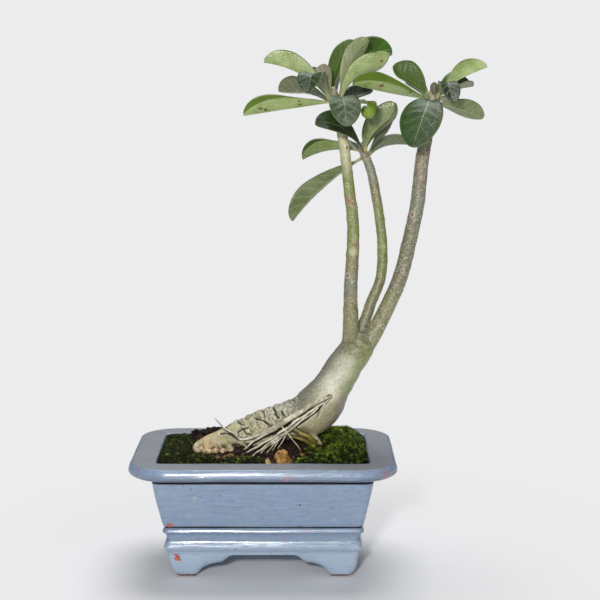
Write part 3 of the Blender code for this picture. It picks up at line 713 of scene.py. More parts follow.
# Leaf scars in a spiral up each stem: first and last height, count, radius, turn at the start.
scars = {"left": (236, 436, 19, 2.1, 40), "middle": (248, 392, 15, 1.8, 200),
         "right": (232, 440, 20, 2.3, 300)}
skinTints = {
    "peach": (222, 198, 152), "bright": (232, 228, 206),
    "olive": (122, 120, 76), "fresh": (118, 136, 54), "cream": (188, 187, 146),
    "tan": (170, 162, 124), "grey": (124, 124, 112), "straw": (204, 190, 142),
    "plum": (128, 110, 102), "bark": (106, 102, 84), "rust": (146, 100, 78),
    "pale": (206, 203, 182), "moss": (128, 128, 40), "amber": (196, 146, 84),
    "sand": (190, 178, 142), "umber": (96, 70, 34),
}
# The ridge tint is a painted highlight; the crack, hollow and crease tints are painted shade.
skinMarks = {
    "grain": (214, 210, 184), "speck": (62, 60, 44), "fleck": (206, 204, 176), "scar": (158, 122, 104),
    "ridge": (224, 218, 190), "crack": (58, 50, 32), "hollow": (44, 34, 18), "crease": (24, 18, 10),
}
# Where the skin takes each tint: x, y, z, reach, tint.
skinDabs = (
    (-62, -14, 114, 13, "peach"), (-48, -20, 109, 11, "amber"),
    (-50, -8, 128, 12, "peach"), (-30, -14, 118, 12, "peach"),
    (-24, -6, 138, 14, "cream"), (-8, -16, 130, 12, "straw"),
    (-4, -6, 146, 13, "tan"), (10, -4, 154, 13, "pale"),
    (14, -16, 134, 10, "olive"), (28, 0, 162, 14, "grey"),
    (30, -15, 150, 10, "grey"), (36, -12, 130, 11, "tan"),
    (46, -16, 140, 12, "tan"), (56, -16, 154, 12, "tan"),
    (54, -14, 134, 12, "sand"),
    # These two umber dabs are painted shadow under the bulge.
    (42, -16, 130, 4.5, "umber"), (38, -18, 134, 3.5, "umber"),
    (-50, -18, 107, 7, "amber"), (-38, -18, 110, 6, "amber"),
    (-46, -27, 117, 6.5, "amber"), (-40, -28, 112, 7, "amber"),
    (-46, -30, 110, 2.6, "umber"), (-36, -30, 112, 2.8, "umber"),
    (-28, -28, 114.5, 2.8, "umber"), (-22, -27, 118, 2.6, "umber"),
    (-36, -26, 116.5, 5, "amber"), (-29, -24, 118, 4, "rust"),
    (-54, -24, 115, 5, "amber"), (-42, -20, 126, 6, "sand"),
    (64, -4, 142, 12, "plum"), (72, 4, 158, 11, "grey"),
    # The two bright dabs are a painted highlight down the middle of the caudex.
    (46, 0, 176, 12, "grey"), (60, -14, 174, 9, "bright"),
    (70, -13, 186, 9, "bright"), (80, -6, 178, 10, "fresh"),
    (64, 0, 196, 10, "grey"), (78, -12, 198, 9, "pale"),
    (92, -6, 196, 10, "fresh"), (98, -4, 208, 9, "fresh"),
    (84, -10, 212, 8, "olive"), (72, 0, 210, 8, "grey"),
    (32, -18, 128.5, 5, "moss"), (36, -19, 132, 4, "moss"),
    (45, -17, 125, 5, "moss"), (54, -14, 121, 4, "moss"),
    (-26, -20, 118.5, 3.6, "umber"), (-36, -20, 125, 4.5, "moss"),
    (78, -8, 226, 10, "olive"), (84, -8, 240, 10, "olive"),
    (80, -10, 259, 8, "olive"), (84, -8, 274, 10, "grey"),
    (82, -8, 292, 8, "olive"), (84, -12, 305, 2.6, "cream"),
    (88, -8, 312, 3.5, "rust"), (80, -8, 320, 12, "fresh"),
    (82, -8, 344, 12, "fresh"), (81, -12, 352, 3.5, "rust"),
    (78, -9, 368, 12, "fresh"), (77, -10, 390, 11, "cream"),
    (72, -10, 408, 10, "cream"), (68, -12, 432, 11, "plum"),
    (65, -12, 450, 8, "olive"),
    (92, 4, 226, 9, "grey"), (100, 8, 246, 9, "olive"),
    (108, 14, 266, 9, "olive"), (113, 16, 288, 10, "fresh"),
    (113, 17, 308, 11, "fresh"), (110, 18, 332, 12, "fresh"),
    (105, 18, 356, 10, "olive"), (102, 18, 376, 10, "grey"),
    (93, 18, 398, 9, "plum"),
    (98, -5, 216, 9, "olive"), (108, -5, 234, 9, "olive"),
    (120, -3, 256, 11, "olive"), (130, -3, 284, 14, "bark"),
    (138, -3, 316, 16, "bark"), (144, -3, 348, 16, "grey"),
    (147, -4, 380, 14, "plum"), (150, -6, 406, 14, "bark"),
    (155, -8, 436, 12, "olive"), (158, -6, 454, 8, "tan"),
)
stemNames = ("left", "middle", "right")
barkiness = {"body": 0.0, "anchor": 0.1, "left": 0.25, "middle": 0.5, "right": 1.0}


def makeTree(points):
    tree = KDTree(len(points))
    for i, point in enumerate(points):
        tree.insert(point, i)
    tree.balance()
    return tree


def lineGuide():
    lines = [(name, trunk[name], 10) for name in ("body",) + stemNames]
    lines += [("anchor", anchor, 8) for anchor in trunk["anchors"]]
    rows = [(name, row) for name, line, steps in lines for row in smoothLine(line, steps)]
    return rows, makeTree([Vector(row[:3]) for name, row in rows])


# The line a point of the skin belongs to is the one whose surface is nearest.
def nearestLine(guide, point):
    rows, tree = guide
    place, index, far = min(tree.find_n(point, 14), key=lambda found: abs(found[2] - rows[found[1]][1][3]))
    return rows[index][0]


def scarPlaces():
    places = []
    for name, (low, high, count, radius, start) in scars.items():
        line = smoothLine(trunk[name], 10)
        for i in range(count):
            height = low + (high - low) * (i + random.uniform(-0.25, 0.25)) / (count - 1)
            row = min(line, key=lambda item: abs(item[2] - height))
            angle = math.radians(start + trunk["scarTurn"] * i)
            out = Vector((math.cos(angle), math.sin(angle), 0.0))
            places.append((Vector(row[:3]) + out * row[3], radius * random.uniform(0.7, 1.15)))
    return places


def makeSkinShape():
    shape = bmesh.new()
    sweep(shape, trunk["body"], 6, 40)
    for name in stemNames:
        sweep(shape, trunk[name], 6, 24)
    for anchor in trunk["anchors"]:
        sweep(shape, anchor, 6, 20)
    body = helper("trunkCore", shape)
    remesh = body.modifiers.new("skin", "REMESH")
    remesh.mode = "VOXEL"
    remesh.voxel_size = trunk["voxel"]
    shape = joinMeshes([settle(body)])
    for turn in range(trunk["smoothing"]):
        bmesh.ops.smooth_vert(shape, verts=shape.verts, factor=0.5, use_axis_x=True,
                              use_axis_y=True, use_axis_z=True)
    shape.normal_update()
    return shape


# How far the skin swells at a point, before its creases and scars.
def skinSwell(kind, point):
    if kind != "body":
        move = noise.noise(point / trunk["stemLength"]) * trunk["stemWave"]
    else:
        move = noise.noise(point / trunk["waveLength"]) * trunk["wave"]
        move += noise.noise(point / trunk["knobLength"]) * trunk["knob"]
        arm = 1.0 - fade(point.x, *trunk["armEnd"])
        slant = Vector((point.x * 0.9 + point.z * 0.5, point.y * 0.35, point.z * 0.5))
        fold = abs(noise.noise(slant / trunk["wrinkleLength"] / 2.0))
        creased = arm * (0.25 + 0.75 * fade(point.x, *trunk["armStart"]))
        wrinkled = 1.0 - fade(fold, 0.0, trunk["wrinkleEdge"])
        move -= trunk["wrinkle"] * (0.1 + 0.9 * creased) * wrinkled
        run = Vector((point.x * 0.86 - point.z * 0.5, point.y, point.x * 0.5 + point.z * 0.86))
        band = noise.noise(Vector([part / size for part, size in zip(run, trunk["foldSize"])]))
        move += trunk["folds"] * creased * band
    # The lower side of the root's end is pitted.
    rugged = fade(point.z, *trunk["ruggedZ"]) * fade(point.x, *trunk["ruggedX"])
    rugged *= fade(point.y, *trunk["ruggedY"])
    if rugged > 0.0:
        pit = noise.noise(point / trunk["ruggedLength"]) + 0.3 * noise.noise(point / trunk["ruggedFine"])
        move += trunk["rugged"] * rugged * (pit - 0.2)
    return move


# Creases run on the front and below the stems only.
def creaseDepth(segments, vertex):
    point = vertex.co
    if vertex.normal.y >= 0.15 or point.y >= trunk["creaseFront"] or point.z >= trunk["creaseTop"]:
        return 0.0
    flat = Vector((point.x, point.z))
    crease = 0.0
    for start, end, width, depth in segments:
        run = end - start
        share = min(max((flat - start).dot(run) / run.length_squared, 0.0), 1.0)
        far = (start + run * share - flat).length / width
        if far < trunk["creaseReach"]:
            crease = max(crease, math.exp(-far * far) * depth)
    return crease


def skinTint(dabs, base, point):
    total = trunk["baseWeight"]
    color = base * total
    for place, reach, shade in dabs:
        gap = (point - place).length_squared / (reach * reach)
        if gap < 5.0:
            weight = math.exp(-gap) * trunk["dabStrength"] / reach
            total += weight
            color = color + shade * weight
    return color / total


# How hollow the skin is at each point, against its neighbours.
def skinHollows(shape):
    hollows = []
    for vertex in shape.verts:
        around = [edge.other_vert(vertex).co for edge in vertex.link_edges]
        middle = sum(around, Vector()) / len(around)
        hollows.append((middle - vertex.co).dot(vertex.normal) / trunk["voxel"])
    for turn in range(2):
        hollows = [(hollows[vertex.index] * 2 + sum(hollows[edge.other_vert(vertex).index]
                                                    for edge in vertex.link_edges))
                   / (2 + len(vertex.link_edges)) for vertex in shape.verts]
    return hollows


def makeTrunk(material):
    random.seed(11)
    shape = makeSkinShape()
    print("trunk skin:", len(shape.faces), "faces")
    guide = lineGuide()
    marks = scarPlaces()
    markTree = makeTree([place for place, radius in marks])
    tints = {name: Vector([linear(part) for part in color]) for name, color in skinTints.items()}
    dabs = [(Vector(row[:3]), row[3], tints[row[4]]) for row in skinDabs]
    segments = [(Vector(start), Vector(end), width * trunk["creaseWidth"], depth * trunk["creaseDepth"])
                for width, depth, line in creases
                for start, end in zip(line, line[1:])]
    values = {"scar": [], "barky": [], "hollow": [], "crease": []}
    colors, moves = [], []
    for vertex in shape.verts:
        point = vertex.co
        kind = nearestLine(guide, point)
        crease = creaseDepth(segments, vertex)
        move = skinSwell(kind, point) - crease
        place, index, far = markTree.find(point)
        share = far / marks[index][1]
        scar = 0.0
        if share < 2.2 and kind in stemNames:
            rim = trunk["scarRim"] * math.exp(-((share - 1.05) / 0.35) ** 2)
            move += rim - trunk["scarDip"] * (1.0 - fade(share, 0.0, 0.9))
            scar = 1.0 - fade(share, 0.55, 1.15)
        moves.append(move)
        values["scar"].append(scar)
        values["barky"].append(barkiness[kind])
        # The crease depth is also kept for the painted shade in the creases.
        values["crease"].append(min(max(crease - 0.35, 0.0) / 1.2, 1.0))
        colors += [*skinTint(dabs, tints[trunk["baseTint"]], point), 1.0]
    for vertex, move in zip(shape.verts, moves):
        vertex.co += vertex.normal * move
    shape.normal_update()
    values["hollow"] = skinHollows(shape)
    mesh = toMesh("trunkSkin", shape)
    mesh.attributes.new("skin", "FLOAT_COLOR", "POINT").data.foreach_set("color", colors)
    for name, numbers in values.items():
        storeValues(mesh, name, numbers)
    return addPiece("trunkSkin", mesh, [material], ["trunk"])


def makeSkin():
    material, tree, point = startMaterial("trunkSkin", 0.5, Coat_Weight=0.2, Coat_Roughness=0.28)
    color = driftColor(tree, attribute(tree, "skin", "Color"), point, 90.0, 0.22)
    grain, grainValue = clouds(tree, point, 900.0, 3.0, 0.46, 0.62)
    color = mixColors(tree, grain, color, skinMarks["grain"], 0.34)
    color = mixColors(tree, clouds(tree, point, 640.0, 4.0, 0.53, 0.66)[0], color, skinMarks["speck"], 0.42)
    barky = rise(tree, attribute(tree, "barky"), 0.6, 0.95)
    fleck = flecks(tree, objectPoint(tree, (1.0, 1.0, 1.7)), 330.0, 0.42, scaled(tree, barky, 0.45, 0.16))
    color = mixColors(tree, fleck, color, skinMarks["fleck"], 0.7)
    color = mixColors(tree, attribute(tree, "scar"), color, skinMarks["scar"], 0.6)
    # Ridges of the skin get a painted highlight, and its hollows painted shade. Fine cracks, painted dark
    # as the shade in them, run across the root arm. These places along X are in the shared frame.
    across = axis(tree, point, "X")
    arm = times(tree, rise(tree, across, 0.004, -0.020), rise(tree, across, -0.082, -0.064, 0.25, 1.0))
    hollow = attribute(tree, "hollow")
    color = mixColors(tree, rise(tree, hollow, -0.02, -0.12), color, skinMarks["ridge"], 0.5)
    cracks = noiseValue(tree, objectPoint(tree, (1.5, 0.6, 0.7)), 95.0, 5.0, Distortion=0.7)
    crack = times(tree, fall(tree, farFrom(tree, cracks, 0.5), 0.004, 0.022), scaled(tree, arm, 0.5, 0.05))
    color = mixColors(tree, crack, color, skinMarks["crack"])
    color = mixColors(tree, rise(tree, hollow, 0.03, 0.13), color, skinMarks["hollow"], 0.78)
    # Painted shade, near black, fills the creases.
    crease = rise(tree, attribute(tree, "crease"), 0.25, 0.9)
    color = mixColors(tree, crease, color, skinMarks["crease"], 0.94)
    relief = minus(tree, scaled(tree, fleck, 0.5, grainValue), crack)
    return closeMaterial(material, color, relief, 0.5, Roughness=scaled(tree, grainValue, 0.36, 0.16))


makeTrunk(makeSkin())
print("trunk made")

# Thin roots that run down the front of the caudex and into the soil.
aerial = {
    "strands": (
        ((64, -14.8, 168.6, 1.5), (52, -15.6, 162.6, 2), (40, -16, 156.6, 2.3),
         (29, -17, 149.6, 2.6), (18.5, -18, 143, 2.7), (8, -18.6, 137.4, 2.3),
         (-1.5, -19, 132.8, 1.9), (-18, -19.6, 127.5, 1.25), (-29, -18.6, 133.5, 1),
         (-37, -17.6, 138, 0.8), (-46, -17, 148, 0.5)),
        ((27, -16.4, 147.6, 1.3), (18, -18.4, 141.6, 1.5), (10, -19.5, 136.4, 1.5),
         (-3, -21, 130, 1.4), (-15, -22.5, 121.4, 1.3), (-25, -23.5, 114.4, 1.1)),
        ((62.5, -15.2, 164.4, 1), (50, -16.4, 157.6, 1.4), (43.7, -17.2, 153.2, 1.5),
         (32.8, -18.8, 146.2, 1.6), (23, -20.2, 139.2, 1.5), (14, -21.5, 133, 1.4),
         (6, -22.8, 128.4, 1.3), (-8, -25, 120.4, 1.1), (-22, -27.5, 112.6, 0.9)),
        ((52, -16.6, 157, 0.8), (43.7, -18.6, 151, 1.2), (32.8, -20.4, 143.4, 1.3),
         (22, -23, 135.4, 1.3), (4, -31, 125.6, 1.2), (-18, -39, 109, 0.9)),
        ((34, -19.4, 143.6, 1), (25, -22, 137, 1.2), (15.5, -25.4, 130.6, 1.1),
         (4, -28.4, 122.6, 1), (-9, -32, 111, 0.8)),
        ((30, -20, 140.6, 0.9), (22, -23, 134.2, 1), (13, -26, 127.4, 1),
         (-2, -31, 111, 0.8)),
        ((32.5, -16.5, 143, 1), (23, -20, 135.5, 1.1), (14.5, -22, 126.5, 1),
         (4.5, -25, 112, 0.8)),
        ((34.5, -14, 144, 1), (21, -20, 132, 1), (15, -20, 122, 0.9),
         (11, -20, 112, 0.7)),
        ((10, -13, 145, 1.1), (16.5, -20, 140, 1.1), (27, -24, 129, 1),
         (39, -21, 113, 0.8)),
        ((64.5, -13.5, 167, 1.3), (58, -16.4, 160.5, 1.2), (50, -17.5, 148.5, 0.7)),
        ((3, -6, 152.5, 1.2), (8, -13, 149.5, 1.2), (15.5, -16.5, 142, 1.2))),
    "steps": 7, "sides": 10, "wiggle": 1.15,
    "slimmer": (1.0, 0.85, 0.95, 0.75, 0.65, 0.65, 0.65, 0.6, 0.75, 0.8, 0.8),  # one for each strand
}
rootTints = {"dull": (168, 160, 136), "pale": (232, 226, 204), "speck": (96, 86, 68),
             "below": (58, 46, 30), "soiled": (120, 92, 60),
             "moss": (96, 92, 32), "lime": (158, 150, 66), "shadedTop": (74, 50, 26)}


def joinStrands(form, strands, seed):
    parts = []
    for i, strand in enumerate(strands):
        part = bmesh.new()
        sweep(part, strand, form["steps"], form["sides"], form["wiggle"], seed + i * 7.3)
        parts.append(toMesh("strand", part))
    return joinMeshes(parts)


def makeAerialRoots(material):
    strands = [[(*row[:3], row[3] * slimmer) for row in strand]
               for strand, slimmer in zip(aerial["strands"], aerial["slimmer"])]
    shape = joinStrands(aerial, strands, 0.0)
    return addPiece("aerialRoots", shape, [material], ["trunk"])


def makeRootSkin():
    material, tree, point = startMaterial("aerialRootSkin", 0.6)
    cloud = clouds(tree, point, 130.0, 4.0, 0.38, 0.62)[0]
    fine, fineValue = clouds(tree, point, 800.0, 2.0, 0.5, 0.7)
    color = mixColors(tree, cloud, rootTints["dull"], rootTints["pale"])
    color = mixColors(tree, fine, color, rootTints["speck"], 0.4)
    # Painted shade darkens the undersides of the roots.
    color = mixColors(tree, rise(tree, upward(tree), 0.1, -0.7), color, rootTints["below"], 0.75)
    low = fall(tree, axis(tree, point, "Z"), 0.112, 0.130)
    color = mixColors(tree, low, color, rootTints["soiled"], 0.3)
    return closeMaterial(material, color, fineValue, 0.25)


# Two green roots under the bulge, half in the soil.
greenRoots = {
    "strands": (((25.0, -15.5, 138.0, 1.2), (30.0, -17.5, 136.2, 2.3), (37.0, -18.0, 133.0, 2.6),
                 (44.0, -17.0, 129.4, 2.3), (50.0, -13.0, 122.0, 1.6)),
                ((26.0, -18.0, 132.4, 1.2), (32.0, -20.0, 129.4, 2.0), (39.0, -20.2, 126.2, 2.2),
                 (45.0, -19.2, 122.6, 2.0), (51.0, -16.0, 114.0, 1.6))),
    "steps": 9, "sides": 18, "wiggle": 2.2,
}


def makeGreenRoots(material):
    shape = joinStrands(greenRoots, greenRoots["strands"], 40.0)
    return addPiece("greenRoots", shape, [material])


def makeRootGreen():
    material, tree, point = startMaterial("greenRootSkin", 0.5)
    patch, patchValue = clouds(tree, point, 110.0, 5.0, 0.38, 0.62)
    color = mixColors(tree, patch, rootTints["moss"], rootTints["lime"])
    # Painted shade: the roots' tops, under the bulge, are painted dark brown.
    color = mixColors(tree, rise(tree, upward(tree), 0.3, 0.75), color, rootTints["shadedTop"], 0.8)
    return closeMaterial(material, color, patchValue, 0.6)


makeAerialRoots(makeRootSkin())
makeGreenRoots(makeRootGreen())
print("aerial roots made")

# Leaves: node, stem, drop below the stem's top, middle and tip of the midrib, width,
# roll at the base, roll at the tip, fold of each half, curl of the tip. Angles in degrees.
leaves = (
    ("leaf_a01", "left", 5, (34, -9, 469), (1, -10, 479), 31, -30, -36, 44, 0),
    ("leaf_a02", "left", 11, (40, 20, 451), (14, 32, 450), 33, -34, -34, 30, 10),
    ("leaf_a03", "left", 8, (47, -42, 468), (44, -57, 449), 25, 0, 0, 12, 20),
    ("leaf_a04", "left", 2, (58, -22, 463), (54, -26, 477), 17, -50, -60, 20, 0),
    ("leaf_a05", "left", 9, (22, -22, 437), (-17, -27, 431), 35, -12, 20, 50, 0),
    ("leaf_a06", "left", 12, (73, -44, 446), (75, -63, 419), 29, 0, 0, 12, 15),
    ("leaf_a07", "left", 2, (69, 3, 476), (83, 14, 500), 21, 0, 10, 22, 0),
    ("leaf_a08", "left", 2, (80, -12, 478), (97, -9, 500), 21, 60, 60, 16, 0),
    ("leaf_a09", "left", 7, (90, -21, 470), (120, -18, 472), 29, 38, 48, 34, 48),
    ("leaf_a10", "left", 7, (93, 16, 482), (121, 28, 487), 34, -30, -45, 24, 0),
    ("leaf_a11", "left", 10, (96, -38, 442), (113, -53, 438), 19, 4, 8, 22, -320),
    ("leaf_a12", "left", 8, (62, 26, 468), (52, 50, 462), 28, 0, 0, 24, 20),
    ("leaf_a13", "left", 13, (84, 14, 446), (103, 24, 452), 26, -20, -20, 30, 10),
    ("leaf_b01", "middle", 3, (62, 14, 398), (37, 15, 389), 31, -12, 14, 48, 0),
    ("leaf_b02", "middle", 11, (54, 18, 362), (27, 12, 331), 32, -50, -40, 30, 0),
    ("leaf_b03", "middle", 3, (74, -34, 419), (48, -42, 426), 27, 66, 56, 20, 0),
    ("leaf_b04", "middle", 2, (105, 11, 417), (129, 2, 436), 31, 35, 40, 34, 30),
    ("leaf_b05", "middle", 6, (112, 36, 408), (124, 48, 422), 30, 55, 60, 22, 10),
    ("leaf_b06", "middle", 7, (117, 22, 402), (142, 26, 402), 28, -5, 0, 40, 0),
    ("leaf_b07", "middle", 10, (90, 48, 402), (92, 70, 392), 27, 0, 0, 24, 20),
    ("leaf_c01", "right", 9, (148, -32, 437), (135, -54, 402), 39, 6, 10, 12, 5),
    ("leaf_c02", "right", 6, (119, -25, 451), (81, -40, 459), 36, 20, 24, 46, 0),
    ("leaf_c03", "right", 3, (138, 4, 461), (118, 8, 473), 33, 36, 40, 34, 20),
    ("leaf_c04", "right", 7, (146, 20, 453), (138, 38, 458), 20, 0, 0, 22, 20),
    ("leaf_c05", "right", 4, (176, -8, 461), (206, -10, 475), 31, -50, 42, 44, 0),
    ("leaf_c06", "right", 6, (176, 16, 453), (197, 28, 457), 31, -20, -16, 45, 0),
    ("leaf_c07", "right", 5, (167, -26, 460), (170, -43, 440), 20, 0, 0, 14, 15),
    ("leaf_c08", "right", 11, (180, 2, 437), (205, 4, 428), 24, 42, 46, 22, 0),
    ("leaf_c09", "right", 2, (157, -12, 453), (157, -15, 461), 8, 0, 0, 24, 0),
    ("leaf_c10", "right", 10, (168, 26, 446), (176, 50, 436), 28, 0, 0, 24, 20),
)
# How each leaf looks: grey bloom with painted sheen, how far its underside turns to beige,
# how much painted shade and age darken it, how far the bloom and sheen lean to one half, and how young and
# yellow its green is.
leafLooks = {
    "a01": (0.2, 0.1, 0, 0, 0), "a02": (0.7, 0.35, 0.9, 0, 0),
    "a03": (0.35, 0.3, 0.8, 0, 0), "a04": (0.6, 1, 0.15, 0, 0),
    "a05": (0, 0, 0.12, 0, 0.6), "a06": (0.75, 0.2, 0.5, -0.3, 0),
    "a07": (0, 0.2, 0, 0, 0.3), "a08": (0.5, 0.5, 0.1, 0, 0),
    "a09": (0.1, 0.1, 0.05, 0, 0.25), "a10": (0, 0.2, 0, 0, 0.2),
    "a11": (0.3, 0, 0.05, 0, 1), "a12": (0.6, 0.4, 0.5, 0, 0),
    "a13": (0.1, 0.2, 1.2, 0, 0), "b01": (0.1, 0, 0.38, 0, 0.3),
    "b02": (0.1, 0, 0.8, 0, 0.2), "b03": (0.1, 0.2, 0.9, 0, 0),
    "b04": (0.1, 0, 0.65, 0, 0.6), "b05": (0.8, 0.6, 0.8, 0, 0),
    "b06": (0.5, 0.4, 0.85, 0, 0), "b07": (0.4, 0.4, 0.6, 0, 0),
    "c01": (0.5, 0.2, 0.38, -0.9, 0), "c02": (0, 0.1, 0, 0, 0.65),
    "c03": (0, 0.4, 0.3, 0, 0.4), "c04": (0.3, 0.3, 0.9, 0, 0),
    "c05": (0, 0, 0, 0, 0.2), "c06": (0.4, 0.4, 0.5, 0, 0),
    "c07": (0.15, 0.2, 0.95, 0, 0), "c08": (0.1, 0, 0.8, 0, 0.4),
    "c09": (0.2, 0.9, 0.9, 0, 0), "c10": (0.3, 0.3, 0.6, 0, 0),
}
leafForm = {
    "rows": 58, "columns": 22, "crowding": 1.25, "end": 0.994, "outline": (1.9, 0.54), "foldPower": 1.25,
    "stalkWidth": 3.4, "stalkThick": 1.8, "edgeShare": 0.27, "stalkGap": 0.45, "stalkIn": 2.4,
    "stalkLong": 0.3, "bladeThick": 0.33, "ribThick": 0.75, "ribWidth": 0.07,
    "curlStart": 0.72, "rollStart": 0.5, "rolledFrom": 200, "ball": 6.8, "ballShrink": 0.14,
    "ballClosed": 84.0, "veins": 8.0, "veinSlant": 1.5, "pucker": 0.16, "broadHalf": 8.0,
    "edgeWave": 0.5, "uneven": 0.03,
}
# Brown spots: leaf, along, across, radius in millimetres.
leafSpots = (("leaf_a05", 0.34, -0.35, 2.0), ("leaf_a05", 0.36, -0.75, 1.6),
             ("leaf_a05", 0.74, -0.30, 2.2), ("leaf_a05", 0.80, -0.55, 1.8),
             ("leaf_b02", 0.50, 0.25, 1.6), ("leaf_b02", 0.82, 0.30, 1.6),
             ("leaf_c02", 0.73, -0.68, 2.6), ("leaf_c02", 0.34, -0.85, 2.2),
             ("leaf_c08", 0.62, 0.20, 1.2), ("leaf_a09", 0.85, 0.3, 1.6))


# Point on a stem's middle line at a height below its top, and the radius there.
def stemPlace(stem, drop):
    line = smoothLine(trunk[stem], 8)
    height = line[-1][2] - 5.0 - drop
    for low, high in zip(line, line[1:]):
        if high[2] >= height:
            row = low.lerp(high, (height - low[2]) / (high[2] - low[2]))
            return Vector(row[:3]), row[3]
    return Vector(line[-1][:3]), line[-1][3]


# Maps along 0 to 1 and across -1 to 1 onto a blade.
def bendLeaf(row):
    name, stem, drop, middle, tip, width, roll, tipRoll, fold, curl = row
    start, radius = stemPlace(stem, drop)
    middle, tip = Vector(middle), Vector(tip)
    side = Vector((tip.y - start.y, start.x - tip.x, 0.0)).normalized()
    fold = math.radians(fold)
    seed = sum(ord(letter) for letter in name) * 0.37
    rolled = abs(curl) > leafForm["rolledFrom"]
    curlStart = leafForm["rollStart" if rolled else "curlStart"]
    stalkWidth, ball = leafForm["stalkWidth"], leafForm["ball"]

    def crossSection(ahead, along):
        lateral = (side - ahead * side.dot(ahead)).normalized()
        up = lateral.cross(ahead)
        angle = math.radians(roll + (tipRoll - roll) * along)
        return (lateral * math.cos(angle) + up * math.sin(angle),
                up * math.cos(angle) - lateral * math.sin(angle))

    leaving = (middle * 2 - tip / 2 - start * 1.5).normalized()
    lateral, up = crossSection(leaving, 0.0)
    outward = Vector((leaving.x, leaving.y, 0.0)).normalized()
    reach = abs(lateral.dot(outward)) * stalkWidth
    reach = (reach + abs(up.dot(outward)) * leafForm["stalkThick"]) / 2
    base = start + outward * (radius + leafForm["stalkGap"] + reach)
    handle = middle * 2 - (base + tip) / 2
    size = (tip - base).length

    def spine(t):
        return base * (1 - t) ** 2 + handle * 2 * t * (1 - t) + tip * t * t

    # A young blade closes like a ball round its own tip.
    def rollUp(share, across, outline):
        angle = math.radians(curl) * share
        cupped = fade(share, 0.0, 0.3)
        radius = ball * (1 - leafForm["ballShrink"] * share)
        onward = (tip - handle).lerp(handle - base, 1 - curlStart).normalized()
        above = side.cross(onward)
        around = above * math.cos(angle) - onward * math.sin(angle)
        bowl = math.radians(leafForm["ballClosed"]) * across * min(outline * 1.4, 1.0)
        point = spine(curlStart) - above * ball + around * radius
        point += around * radius * cupped * (math.cos(bowl) - 1)
        point += side * radius * cupped * math.sin(bowl)
        return point, Matrix.Rotation(angle, 3, side) @ onward, cupped

    def place(along, across):
        inward = min(along, 0.0)
        along = max(along, 0.0)
        point = spine(along)
        ahead = ((handle - base) * (1 - along) + (tip - handle) * along).normalized()
        power, roundness = leafForm["outline"]
        outline = math.sin(math.pi * along ** power) ** roundness
        cupped = 0.0
        if along > curlStart and curl:
            share = (along - curlStart) / (1 - curlStart)
            if rolled:
                point, ahead, cupped = rollUp(share, across, outline)
            else:
                turn = Matrix.Rotation(math.radians(curl) * share, 3, side)
                pivot = spine(curlStart)
                point = pivot + turn @ (point - pivot)
                ahead = turn @ ahead
        lateral, up = crossSection(ahead, along)
        outline *= 1 + leafForm["uneven"] * noise.noise(Vector((along * 5, seed, across)))
        half = max(width / 2 * outline, stalkWidth / 2 * (1 - along)) * (1 - cupped)
        rim = abs(across)
        lift = half * rim ** leafForm["foldPower"] * math.sin(fold) * (1 - cupped)
        broad = min(half / leafForm["broadHalf"], 1.0)
        phase = (along * leafForm["veins"] - rim * leafForm["veinSlant"]) * math.tau
        lift += leafForm["pucker"] * broad * math.sin(phase) * 4 * rim * (1 - rim)
        lift += leafForm["edgeWave"] * broad * rim ** 4 * noise.noise(
            Vector((along * 4.5, seed, 3.0 if across > 0 else 9.0)))
        point = point + lateral * (half * across * math.cos(fold)) + up * lift
        return point + ahead * inward * size

    return place


def makeLeaf(row, materials):
    name, stem, drop, middle, tip, width = row[:6]
    place = bendLeaf(row)
    spots = [spot[1:] for spot in leafSpots if spot[0] == name]
    size = (Vector(tip) - Vector(middle)).length * 2
    tone = random.random()
    shape = bmesh.new()
    bmesh.ops.create_grid(shape, x_segments=leafForm["rows"], y_segments=leafForm["columns"], size=1.0)
    uvs = shape.loops.layers.uv.new("bladeMap")
    thickness, spotLevels, sides = [], [], []
    for vertex in shape.verts:
        share = (vertex.co.x + 1) / 2
        along = leafForm["end"] * (1 - (1 - share) ** leafForm["crowding"])
        across = math.copysign(abs(vertex.co.y) ** leafForm["crowding"], vertex.co.y)
        for loop in vertex.link_loops:
            loop[uvs].uv = (along, across / 2 + 0.5)
        stalk = max(0.0, 1 - along / leafForm["stalkLong"])
        blade = leafForm["bladeThick"] * (1 - across ** 6)
        rib = leafForm["ribThick"] * (1 - along) * math.exp(-(across / leafForm["ribWidth"]) ** 2)
        thickness.append(max(stalk, blade, rib))
        level = 0.0
        for spotAlong, spotAcross, radius in spots:
            far = Vector(((along - spotAlong) * size, (across - spotAcross) * width / 2)).length
            level = max(level, 1.0 - far / (radius * 2))
        spotLevels.append(level)
        sides.append(across)
        if share == 0.0:
            along = -leafForm["stalkIn"] / size
        vertex.co = place(along, across)
    leaf = helper(name + "Sheet", shape)
    group = leaf.vertex_groups.new(name="thick")
    for index, level in enumerate(thickness):
        group.add([index], level, "REPLACE")
    dustAndSheen, warm, shade, slant, young = leafLooks[name[5:]]
    storeValues(leaf.data, "spot", spotLevels)
    storeValues(leaf.data, "dustAndSheen", [dustAndSheen * (1 + slant * across) for across in sides])
    for label, value in (("tone", tone), ("warm", warm), ("shade", shade), ("young", young)):
        storeValues(leaf.data, label, [value] * len(sides))
    blade = leaf.modifiers.new("blade", "SOLIDIFY")
    blade.thickness = leafForm["stalkThick"]
    blade.offset = 0.0
    blade.vertex_group = "thick"
    blade.thickness_vertex_group = leafForm["edgeShare"]
    blade.material_offset = 1
    blade.material_offset_rim = 1
    for material in materials:
        leaf.data.materials.append(material)
    return addPiece("blade" + name[5:].upper(), settle(leaf), materials, [name])


